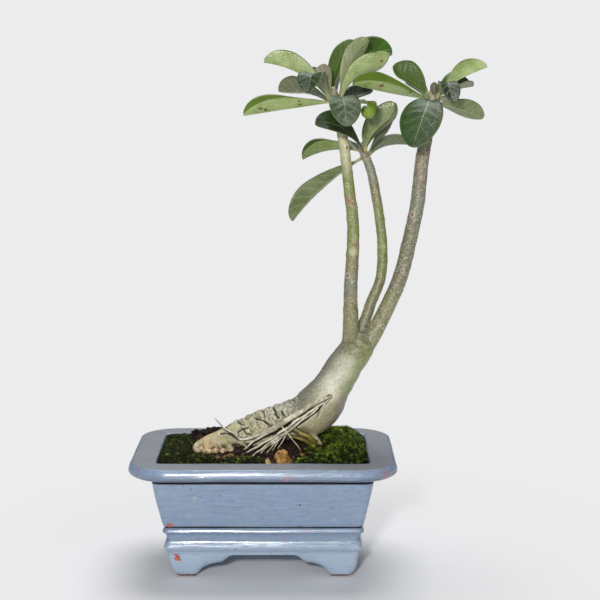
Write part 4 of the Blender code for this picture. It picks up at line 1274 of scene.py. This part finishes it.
# Veins of a blade from its own map: along in U, across in V with the midrib at one half.
def makeVeinGroup():
    group, enter, leave = startGroup(
        "leafVeins",
        (("Map", "Vector", None), ("Point", "Vector", None), ("Count", "Float", 8.0),
         ("Slant", "Float", 1.5)),
        (("Midrib", "Float"), ("Veins", "Float"), ("Net", "Float"), ("Edge", "Float"),
         ("Stalk", "Float")))
    along = axis(group, enter["Map"], "X")
    across = calc(group, "ABSOLUTE", scaled(group, axis(group, enter["Map"], "Y"), 2.0, -1.0))
    width = scaled(group, along, -0.055, 0.075)
    sway = times(group, minus(group, noiseValue(group, enter["Point"], 90.0), 0.5), 0.7)
    phase = minus(group, times(group, along, enter["Count"]), times(group, across, enter["Slant"]))
    phase = calc(group, "FRACT", calc(group, "ADD", phase, sway))
    line = rise(group, farFrom(group, phase, 0.5), 0.40, 0.5)
    net = cells(group, enter["Point"], 520.0, "DISTANCE_TO_EDGE")["Distance"]
    for label, mask in (("Midrib", fall(group, across, times(group, width, 0.35), width)),
                        ("Veins", times(group, line, fall(group, across, 0.75, 0.95))),
                        ("Net", fall(group, net, 0.0, 0.14)), ("Edge", rise(group, across, 0.93, 0.99)),
                        ("Stalk", fall(group, along, 0.03, 0.13))):
        feed(group, mask, leave[label])
    return group


veinGroup = makeVeinGroup()
leafTints = {
    "upper": {"deep": (22, 52, 8), "light": (46, 90, 14), "vein": (88, 120, 58), "fresh": (130, 156, 54),
              "midrib": (150, 168, 120), "edge": (120, 138, 88), "roughness": 0.34, "net": 0.06,
              "veins": 0.12, "turned": "dustAndSheen", "turnedTint": (80, 94, 66), "turnedMost": 0.9,
              "scratches": 0.3, "youngMost": 0.85, "shine": 0.38},
    "under": {"deep": (130, 152, 80), "light": (180, 194, 132), "vein": (206, 216, 170),
              "fresh": (128, 158, 58), "midrib": (188, 198, 144), "edge": (78, 92, 44),
              "roughness": 0.28, "net": 0.07, "veins": 0.24, "turned": "warm",
              "turnedTint": (156, 146, 130), "turnedMost": 0.8, "scratches": 0.0,
              "youngMost": 0.45, "shine": 0.6},
}
leafMarks = {"shade": (26, 32, 18), "scratch": (176, 186, 170), "stalk": (184, 172, 122),
             "spot": (104, 52, 22)}


def makeLeafSkin(name):
    kind = leafTints[name]
    material, tree, point = startMaterial("leaf" + name.capitalize(), kind["roughness"],
                                          Specular_IOR_Level=kind["shine"])
    veins = useGroup(tree, veinGroup, Map=coordinate(tree, "UV"), Point=point,
                     Count=leafForm["veins"], Slant=leafForm["veinSlant"])
    cloud, cloudValue = clouds(tree, point, 60.0, 4.0, 0.34, 0.66)
    tone = scaled(tree, minus(tree, attribute(tree, "tone"), 0.5), 0.5, times(tree, cloud, 0.8))
    color = mixColors(tree, tone, kind["deep"], kind["light"])
    # On the upper side this paints grey bloom with painted sheen, and on the underside it turns the colour
    # beige.
    turned = times(tree, attribute(tree, kind["turned"]), kind["turnedMost"])
    turned = times(tree, turned, scaled(tree, cloudValue, 1.0, 0.5))
    color = mixColors(tree, turned, color, kind["turnedTint"])
    color = mixColors(tree, attribute(tree, "young"), color, kind["fresh"], kind["youngMost"])
    # Painted shade, with the darker tone of older leaves, darkens each leaf by its shade value.
    color = mixColors(tree, attribute(tree, "shade"), color, leafMarks["shade"], 0.75)
    color = driftColor(tree, color, point, 380.0, 0.12)
    scratch = noiseValue(tree, point, 55.0, 3.0, Distortion=0.6)
    scratch = fall(tree, farFrom(tree, scratch, 0.5), 0.0, 0.012)
    worn = times(tree, attribute(tree, "dustAndSheen"), kind["scratches"])
    color = mixColors(tree, times(tree, scratch, worn), color, leafMarks["scratch"])
    color = mixColors(tree, veins["Stalk"], color, leafMarks["stalk"], 0.7)
    # On the undersides the edge is painted dark, as painted shade along the leaf's margin.
    for output, amount, shade in (("Net", kind["net"], "vein"), ("Veins", kind["veins"], "vein"),
                                  ("Midrib", 0.55, "midrib"), ("Edge", 0.7, "edge")):
        color = mixColors(tree, veins[output], color, kind[shade], amount)
    torn = clouds(tree, point, 520.0, 3.0)[1]
    spot = scaled(tree, minus(tree, torn, 0.5), 0.9, attribute(tree, "spot"))
    color = mixColors(tree, rise(tree, spot, 0.42, 0.62), color, leafMarks["spot"], 0.92)
    gloss = scaled(tree, cloudValue, 0.25, kind["roughness"] - 0.12)
    relief = scaled(tree, veins["Net"], -0.3, scaled(tree, veins["Veins"], -0.5, torn))
    return closeMaterial(material, color, relief, 0.22, Roughness=gloss)


leafSkins = [makeLeafSkin("under"), makeLeafSkin("upper")]
random.seed(5)
for row in leaves:
    makeLeaf(row, leafSkins)
print("leaves made:", len(leaves))

# Soil, moss and stones.
fill = {
    "edge": 109.5, "mound": 11.0, "moundX": 10.0, "reach": 72.0, "fade": 9.0, "moundY": -6.0,
    "width": 33.0, "wallInset": 27.1, "wallGap": 0.6,
    "lowRows": ((39.6, 41.3), (38.5, 51.0), (27.7, 101.0)), "outerInset": 27.5,
    "rings": 46, "clump": 0.9, "clumpLength": 6.0, "crumb": 0.45, "crumbLength": 2.2,
    "grains": 3600, "grainField": (98, 56), "grainSize": (0.7, 1.9), "grainKinds": 4,
    "dark": (10, 8, 6), "light": (46, 36, 26), "red": (84, 52, 42), "straw": (146, 116, 80),
    "brown": (82, 56, 46),
}
# Moss cushions: name, node, middle x, y, half sizes x, y, height over the soil, shoots, brightness.
mosses = (("mossRight", "moss_right", 72, -7, 34, 52, 11, 5000, 0),
          ("mossBack", "moss_back", 6, 43, 46, 12, 7, 1000, 0),
          ("mossLeft", "moss_left", -85, -2, 19, 56, 8, 2700, -0.34),
          ("mossFrontLeft", "moss_front_left", -58, -45, 13, 11, 6.5, 480, -0.18),
          ("mossFront", None, -36.5, -50, 7.5, 6, 4, 170, -0.05),
          ("mossMiddle", None, -13, -47, 16, 9.5, 3.4, 480, -0.16),
          ("mossFrontRight", None, 46, -44, 18, 12.5, 5.5, 700, 0))
mossForm = {"bump": 2.2, "bumpLength": 9.0, "lump": 1.3, "lumpLength": 3.6, "shoot": (2.0, 3.9),
            "dip": (50.0, -22.0), "dipReach": (10.0, 44.0), "boxy": 0.72, "rimHeight": 113.2,
            "rimSlope": 0.8, "leaflets": 5, "kinds": 4, "sink": 1.2, "spread": 0.45,
            "triesEach": 20, "lookFrom": 160.0, "wallMargin": 0.2, "steepest": 0.05, "soilMargin": 0.2,
            "trunkMargin": 0.8, "rooted": 0.3, "brightness": 0.30, "brightPatch": (0.5, 9.0),
            "brightTuft": (0.9, 3.0), "brightShoot": 0.55, "brightHigh": 0.02, "brightFrom": 4.0,
            "dull": (44, 38, 18), "green": (60, 92, 18), "bright": (186, 214, 76), "deep": (14, 16, 5)}
# Stones: node, middle x, y, half sizes x, y, height.
stones = (("stone_ochre", 18, -42.5, 8, 6.5, 11), ("stone_chip", 5, -49, 5, 4, 8))
stoneSize = 0.92  # of the half sizes and the height
# Dark and light tint of each ochre stone, and how much its pits show.
ochres = {
    "ochreStone": ((136, 92, 38), (196, 156, 84), 0.85), "paleChip": ((196, 178, 108), (226, 214, 164), 0.3),
    "brownCrumbs": ((58, 40, 22), (140, 104, 58), 0.8),
}
ochrePit = (70, 44, 20)
drainTints = {"grey": (112, 104, 94), "paleGrey": (176, 166, 150), "gap": (44, 36, 30),
              "net": (44, 78, 58), "paleNet": (62, 98, 74)}


def soilHeight(x, y):
    ridge = math.exp(-((y - fill["moundY"]) / fill["width"]) ** 2)
    run = 1.0 / (1.0 + math.exp((abs(x - fill["moundX"]) - fill["reach"]) / fill["fade"]))
    return fill["edge"] + fill["mound"] * ridge * run


# How far inside the pot's wall a place is.
def nearWall(x, y):
    return min(pot["halfLong"] - abs(x), pot["halfWide"] - abs(y)) - fill["wallInset"] - fill["wallGap"]


def makeSoil(material):
    shape = bmesh.new()
    rings = [potRing(inset, height) for inset, height in fill["lowRows"]]
    outer = potRing(fill["outerInset"], 0.0)
    for step in range(fill["rings"]):
        share = 1.0 - step / fill["rings"]
        ring = []
        for point in outer:
            x, y = point.x * share, point.y * share
            spot = Vector((x, y, 0.0))
            rough = fill["clump"] * noise.noise(spot / fill["clumpLength"])
            rough += fill["crumb"] * noise.noise(spot / fill["crumbLength"])
            ring.append(Vector((x, y, soilHeight(x, y) + rough * fade(1.0 - share, 0.0, 0.05))))
        rings.append(ring)
    loft(shape, rings)
    return addPiece("soilBed", shape, [material], ["soil"])


def makeEarth():
    material, tree, point = startMaterial("darkSoil", 0.9, Specular_IOR_Level=0.2)
    crumb, crumbValue = clouds(tree, point, 420.0, 4.0, 0.4, 0.62)
    color = mixColors(tree, crumb, fill["dark"], fill["light"])
    color = mixColors(tree, clouds(tree, point, 45.0, 3.0, 0.52, 0.66)[0], color, fill["red"], 0.22)
    tone = attribute(tree, "tone")
    color = mixColors(tree, rise(tree, tone, 0.93, 0.97), color, fill["straw"], 0.7)
    color = mixColors(tree, fall(tree, tone, 0.05, 0.2), color, fill["brown"], 0.35)
    return closeMaterial(material, color, crumbValue, 0.6)


# Copies of template shapes at many spots, joined in one mesh by geometry nodes.
# A spot is (place, Euler turn, size, tone, template number).
def scatter(name, spots, templates):
    shape = bmesh.new()
    for spot in spots:
        shape.verts.new(spot[0])
    cloud = helper(name + "Spots", shape)
    turns = cloud.data.attributes.new("turn", "FLOAT_VECTOR", "POINT")
    turns.data.foreach_set("vector", [part for spot in spots for part in spot[1]])
    for label, index in (("size", 2), ("tone", 3), ("pick", 4)):
        storeValues(cloud.data, label, [float(spot[index]) for spot in spots])
    group = bpy.data.node_groups.new(name + "Scatter", "GeometryNodeTree")
    for direction in ("INPUT", "OUTPUT"):
        group.interface.new_socket("Geometry", in_out=direction, socket_type="NodeSocketGeometry")
    enter, leave = group.nodes.new("NodeGroupInput"), group.nodes.new("NodeGroupOutput")
    kinds = group.nodes.new("GeometryNodeJoinGeometry")
    for template in templates:
        source = addNode(group, "GeometryNodeObjectInfo", {"Object": template, "As Instance": True})
        group.links.new(source.outputs["Geometry"], kinds.inputs["Geometry"])
    turn, size, pick = [
        addNode(group, "GeometryNodeInputNamedAttribute", {"Name": label}, data_type=kind).outputs[0]
        for label, kind in (("turn", "FLOAT_VECTOR"), ("size", "FLOAT"), ("pick", "FLOAT"))]
    plant = addNode(group, "GeometryNodeInstanceOnPoints", {
        "Points": enter.outputs[0], "Instance": kinds.outputs[0], "Pick Instance": True,
        "Instance Index": pick, "Rotation": turn, "Scale": size})
    real = addNode(group, "GeometryNodeRealizeInstances", {"Geometry": plant.outputs[0]})
    group.links.new(real.outputs[0], leave.inputs[0])
    cloud.modifiers.new("scatter", "NODES").node_group = group
    mesh = settle(cloud)
    bpy.data.node_groups.remove(group)
    return mesh


# Subdivisions, depth of the lumps, their length, seed of the first, and squash along each axis.
lumpForms = {
    "grain": (1, 0.55, 0.8, 1.0, (1.0, 0.8, 0.6)), "clod": (4, 0.5, 0.7, 20.0, (1.0, 0.9, 0.75)),
    "crumb": (3, 0.6, 0.6, 60.0, (1.2, 0.9, 0.7)), "stone_ochre": (5, 0.4, 0.9, 3.0, (1.0, 1.0, 1.0)),
    "stone_chip": (5, 0.16, 0.9, 8.0, (1.0, 1.0, 1.0)),
}


def lumpyStone(kind, number=0):
    detail, rough, length, seed, squash = lumpForms[kind]
    seed += number
    shape = bmesh.new()
    bmesh.ops.create_icosphere(shape, subdivisions=detail, radius=1.0)
    shift = Vector((seed * 3.1, seed * 1.7, seed * 2.3))
    for vertex in shape.verts:
        away = vertex.co.normalized()
        vertex.co += away * rough * noise.noise(vertex.co / length + shift)
        vertex.co = Vector([part * factor for part, factor in zip(vertex.co, squash)])
    return shape


# A lump as a mesh, sized, turned about the vertical and put in its place.
def layLump(lump, place, turn, size):
    matrix = Matrix.Translation(place) @ Matrix.Rotation(turn, 4, "Z") @ Matrix.Scale(size, 4)
    bmesh.ops.transform(lump, verts=lump.verts, matrix=matrix)
    return toMesh("lump", lump)


def trunkSurface():
    shape = bmesh.new()
    shape.from_mesh(bpy.data.objects["trunkSkin"].data)
    bmesh.ops.transform(shape, matrix=inPlace.inverted(), verts=shape.verts)
    tree = BVHTree.FromBMesh(shape)
    shape.free()
    return tree


trunkWalls = trunkSurface()


# True where a point is outside the trunk by at least the clearance.
def clearOfTrunk(point, clearance):
    place, normal, index, far = trunkWalls.find_nearest(point)
    return far >= clearance and (point - place).dot(normal) > 0.0


def makeGrains(material):
    random.seed(21)
    templates = [helper("grain" + str(i), lumpyStone("grain", i)) for i in range(fill["grainKinds"])]
    spots = []
    while len(spots) < fill["grains"]:
        x, y = [random.uniform(-half, half) for half in fill["grainField"]]
        if nearWall(x, y) <= 1.0:
            continue
        size = random.uniform(*fill["grainSize"]) * random.uniform(0.6, 1.0)
        point = Vector((x, y, soilHeight(x, y) + 0.3 * size))
        if not clearOfTrunk(point, 0.6 * size):
            continue
        turn = [random.uniform(0, math.tau) for part in range(3)]
        spots.append((point, turn, size, random.random(), random.randrange(fill["grainKinds"])))
    mesh = scatter("grains", spots, templates)
    for template in templates:
        bpy.data.objects.remove(template)
    return addPiece("soilGrains", mesh, [material])


# Larger clods of soil, most of them heaped at the back and left: x, y, z, size.
clods = ((-25, -32, 118, 3.2), (-15, -37, 117, 2.8), (-5, -36, 117.5, 2.4),
         (32, -40, 117, 3.2), (37, -46, 115, 2.6), (29, -33, 118, 2.4),
         (-72, 30, 117, 5), (-66, 36, 119.5, 5.5), (-59, 33, 120.5, 5),
         (-52, 38, 121, 6), (-45, 33, 122.5, 5.5), (-40, 26, 124, 5),
         (-50, 22, 119, 6.5), (-62, 22, 116.5, 6), (-72, 18, 114.5, 4.5),
         (-56, 44, 117, 6.5), (-68, 46, 115, 5.5), (-44, 44, 117.5, 6),
         (-66, 8, 113, 4), (-74, 4, 112.5, 3.4), (-70, -24, 112.5, 3.6),
         (-30, -38, 112.5, 3), (-20, -42, 112.5, 3.4), (-12, -46, 112, 3),
         (-2, -40, 113, 2.8), (32, -44, 113, 3.4), (37, -50, 112, 2.6),
         (27, -50, 111.6, 2.2), (52, -24, 116.5, 3.6), (60, -16, 118, 3.4))


def makeClods(material):
    lumps, tones = [], []
    for i, (x, y, z, size) in enumerate(clods):
        lump = lumpyStone("clod", i)
        for vertex in lump.verts:
            vertex.co *= 1 + 0.12 * noise.noise(vertex.co * 4.0)
        tones += [(i * 0.37) % 0.8] * len(lump.verts)
        lumps.append(layLump(lump, (x, y, z), i * 1.3, size))
    mesh = toMesh("soilClods", joinMeshes(lumps))
    storeValues(mesh, "tone", tones)
    return addPiece("soilClods", mesh, [material])


# Small ochre crumbs round the root's end and the stones: x, y, size.
crumbs = ((-50, -34, 1.8), (-43, -37, 2.6), (-36, -36, 2.1), (-30, -34, 2.8),
          (-24, -36, 1.9), (-19, -33, 2.4), (-27, -41, 1.6), (-56, -36, 1.5),
          (30, -37, 2.4), (36, -34, 2.8), (41, -38, 2), (46, -32, 2.4),
          (33, -44, 1.8), (-8, -43, 1.6), (-63, 2, 2), (-67, -8, 1.7))


def makeCrumbs(material):
    lumps = []
    for i, (x, y, size) in enumerate(crumbs):
        lump = lumpyStone("crumb", i)
        lumps.append(layLump(lump, (x, y, soilHeight(x, y) + size * 0.35), i * 2.1, size))
    return addPiece("ochreCrumbs", joinMeshes(lumps), [material])


def mossShoot(seed):
    random.seed(seed)
    shape = bmesh.new()
    for leaflet in range(mossForm["leaflets"]):
        angle = math.tau * leaflet / mossForm["leaflets"] + random.uniform(-0.4, 0.4)
        lean = random.uniform(0.3, 1.1) if leaflet else 0.1
        tall = random.uniform(0.65, 1.0)
        place = (Matrix.Rotation(angle, 4, "Z") @ Matrix.Rotation(lean, 4, "Y")
                 @ Matrix.Translation((0.0, 0.0, tall * 0.45)) @ Matrix.Diagonal((0.5, 1.0, 1.0, 1.0)))
        bmesh.ops.create_cone(shape, cap_ends=True, cap_tris=True, segments=3, radius1=0.2,
                              radius2=0.0, depth=tall, matrix=place)
    tips = [min(max(vertex.co.z, 0.0), 1.0) for vertex in shape.verts]
    shoot = helper("shoot" + str(seed), shape)
    storeValues(shoot.data, "tip", tips)
    return shoot


def makeMound(x, y, halfX, halfY, height):
    shape = bmesh.new()
    bmesh.ops.create_icosphere(shape, subdivisions=5, radius=1.0)
    floor = soilHeight(x, y)
    limits = [pot[side] - fill["wallInset"] - fill["wallGap"] for side in ("halfLong", "halfWide")]
    for vertex in shape.verts:
        away = vertex.co.normalized()
        near = Vector((x + away.x * halfX, y + away.y * halfY)) - Vector(mossForm["dip"])
        lower = 0.08 + 0.92 * fade(near.length, *mossForm["dipReach"])
        boxed = [math.copysign(abs(part) ** mossForm["boxy"], part) for part in away]
        point = Vector((x + boxed[0] * halfX, y + boxed[1] * halfY, floor + away.z * height * lower))
        rough = mossForm["bump"] * noise.noise(point / mossForm["bumpLength"])
        rough += mossForm["lump"] * noise.noise(point / mossForm["lumpLength"])
        point.z += rough * max(away.z, 0.0)
        room = max(nearWall(point.x, point.y), 0.0)
        point.x, point.y = [min(max(part, -limit), limit) for part, limit in zip(point, limits)]
        point.z = min(point.z, mossForm["rimHeight"] + mossForm["rimSlope"] * room + 0.5 * rough)
        vertex.co = point
    for vertex in shape.verts:
        vertex.co.z = max(vertex.co.z, soilHeight(vertex.co.x, vertex.co.y) - mossForm["sink"])
    bmesh.ops.remove_doubles(shape, verts=shape.verts, dist=0.02)
    ground = BVHTree.FromBMesh(shape)
    mound = toMesh("mound", shape)
    for label, value in (("tone", 0.1), ("tip", 0.0)):
        storeValues(mound, label, [value] * len(mound.vertices))
    return mound, ground


def makeMoss(row, material, templates):
    title, node, x, y, halfX, halfY, height, count, lighter = row
    mound, ground = makeMound(x, y, halfX, halfY, height)
    spots = []
    tries = 0
    while len(spots) < count and tries < count * mossForm["triesEach"]:
        tries += 1
        above = Vector((x + random.uniform(-1, 1) * halfX, y + random.uniform(-1, 1) * halfY,
                        mossForm["lookFrom"]))
        place, normal, index, far = ground.ray_cast(above, Vector((0.0, 0.0, -1.0)))
        if place is None or normal.z < mossForm["steepest"]:
            continue
        if nearWall(place.x, place.y) < mossForm["wallMargin"]:
            continue
        if place.z < soilHeight(place.x, place.y) - mossForm["soilMargin"]:
            continue
        if not clearOfTrunk(place, mossForm["trunkMargin"]):
            continue
        spread = mossForm["spread"]
        lean = (normal + Vector([random.uniform(-spread, spread) for part in range(3)])).normalized()
        spin = Matrix.Rotation(random.uniform(0, math.tau), 3, "Z").to_quaternion()
        turn = lean.to_track_quat("Z", "Y") @ spin
        bright = mossForm["brightness"] + lighter
        for amount, length in (mossForm["brightPatch"], mossForm["brightTuft"]):
            bright += amount * noise.noise(place / length)
        bright += random.uniform(-mossForm["brightShoot"], mossForm["brightShoot"])
        bright += mossForm["brightHigh"] * (place.z - mossForm["rimHeight"] - mossForm["brightFrom"])
        spots.append((place - lean * mossForm["rooted"], turn.to_euler(),
                      random.uniform(*mossForm["shoot"]), min(max(bright, 0.0), 1.0),
                      random.randrange(len(templates))))
    whole = joinMeshes([mound, scatter(title, spots, templates)])
    return addPiece(title, whole, [material], [node] if node else ())


def makeMossGreen():
    material, tree, point = startMaterial("mossGreen", 0.7, Specular_IOR_Level=0.15)
    tone = attribute(tree, "tone")
    color = mixColors(tree, rise(tree, tone, 0.0, 0.5), mossForm["dull"], mossForm["green"])
    color = mixColors(tree, rise(tree, tone, 0.5, 0.95), color, mossForm["bright"])
    # The shoots' bases and the cushion beneath them are painted near black, as painted shade between the
    # shoots.
    color = mixColors(tree, rise(tree, attribute(tree, "tip"), 0.1, 0.8), mossForm["deep"], color)
    color = driftColor(tree, color, point, 260.0, 0.3)
    return closeMaterial(material, color, clouds(tree, point, 900.0, 2.0)[1], 0.4)


# Flat breaks of the chip: the way each faces, and how far it is from the middle.
chipBreaks = (((0.70, -0.30, 0.65), 0.30), ((-0.10, -0.95, 0.30), 0.52), ((-0.95, -0.20, 0.20), 0.58),
              ((-0.35, 0.10, 0.93), 0.74), ((0.30, 0.90, 0.30), 0.60))


def makeStone(row, materials):
    name, x, y, halfX, halfY, height = row
    broken = name == "stone_chip"
    shape = lumpyStone(name)
    floor = soilHeight(x, y)
    if broken:
        for facing, far in chipBreaks:
            facing = Vector(facing).normalized()
            everything = shape.verts[:] + shape.edges[:] + shape.faces[:]
            bmesh.ops.bisect_plane(shape, geom=everything, plane_co=facing * far, plane_no=facing,
                                   clear_outer=True)
            bmesh.ops.holes_fill(shape, edges=shape.edges, sides=0)
        bmesh.ops.triangulate(shape, faces=[face for face in shape.faces if len(face.verts) > 4])
    for vertex in shape.verts:
        fine = 0.06 * noise.noise(vertex.co * 5.0) + 0.03 * noise.noise(vertex.co * 14.0)
        if not broken:
            fine += 0.11 * noise.noise(vertex.co * 3.3) - 0.05 * abs(noise.noise(vertex.co * 9.0))
        vertex.co *= 1 + fine
        vertex.co = Vector((x + vertex.co.x * halfX * stoneSize, y + vertex.co.y * halfY * stoneSize,
                            floor + vertex.co.z * height * stoneSize))
    title = "stone" + name.replace("stone_", "").title()
    return addPiece(title, shape, [materials[broken]], [name], 28.0 if broken else None)


def makeOchre(name):
    dark, light, pitted = ochres[name]
    material, tree, point = startMaterial(name, 0.75)
    cloud, cloudValue = clouds(tree, point, 160.0, 5.0, 0.38, 0.62)
    pits, pitValue = clouds(tree, point, 380.0, 3.0, 0.54, 0.64)
    color = mixColors(tree, cloud, dark, light)
    color = mixColors(tree, pits, color, ochrePit, pitted)
    return closeMaterial(material, color, minus(tree, cloudValue, pitValue), 0.8)


def makeGravel():
    material, tree, point = startMaterial("drainGravel", 0.85)
    grey = redOf(tree, cells(tree, point, 260.0)["Color"])
    # Painted shade darkens the gaps between the pebbles.
    gap = fall(tree, cells(tree, point, 260.0, "DISTANCE_TO_EDGE")["Distance"], 0.0, 0.09)
    color = mixColors(tree, grey, drainTints["grey"], drainTints["paleGrey"])
    color = mixColors(tree, gap, color, drainTints["gap"])
    return closeMaterial(material, color, minus(tree, 1.0, gap), 1.0)


def makeNetting():
    material, tree, point = startMaterial("drainNetting", 0.45)
    fine, fineValue = clouds(tree, point, 500.0, 2.0, 0.4, 0.6)
    color = mixColors(tree, fine, drainTints["net"], drainTints["paleNet"])
    return closeMaterial(material, color, fineValue, 0.1)


earth = makeEarth()
makeSoil(earth)
makeGrains(earth)
makeClods(earth)
mossGreen = makeMossGreen()
shootShapes = [mossShoot(40 + i) for i in range(mossForm["kinds"])]
random.seed(33)
for row in mosses:
    makeMoss(row, mossGreen, shootShapes)
for thing in shootShapes:
    bpy.data.objects.remove(thing)
stoneSkins = [makeOchre("ochreStone"), makeOchre("paleChip")]
for row in stones:
    makeStone(row, stoneSkins)
makeCrumbs(makeOchre("brownCrumbs"))
netting = makeNetting()
for name, material in (("drainage_gravel", makeGravel()), ("drain_screen_left", netting),
                       ("drain_screen_right", netting)):
    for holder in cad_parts[name].material_slots:
        holder.material = material
print("soil, moss and stones made")
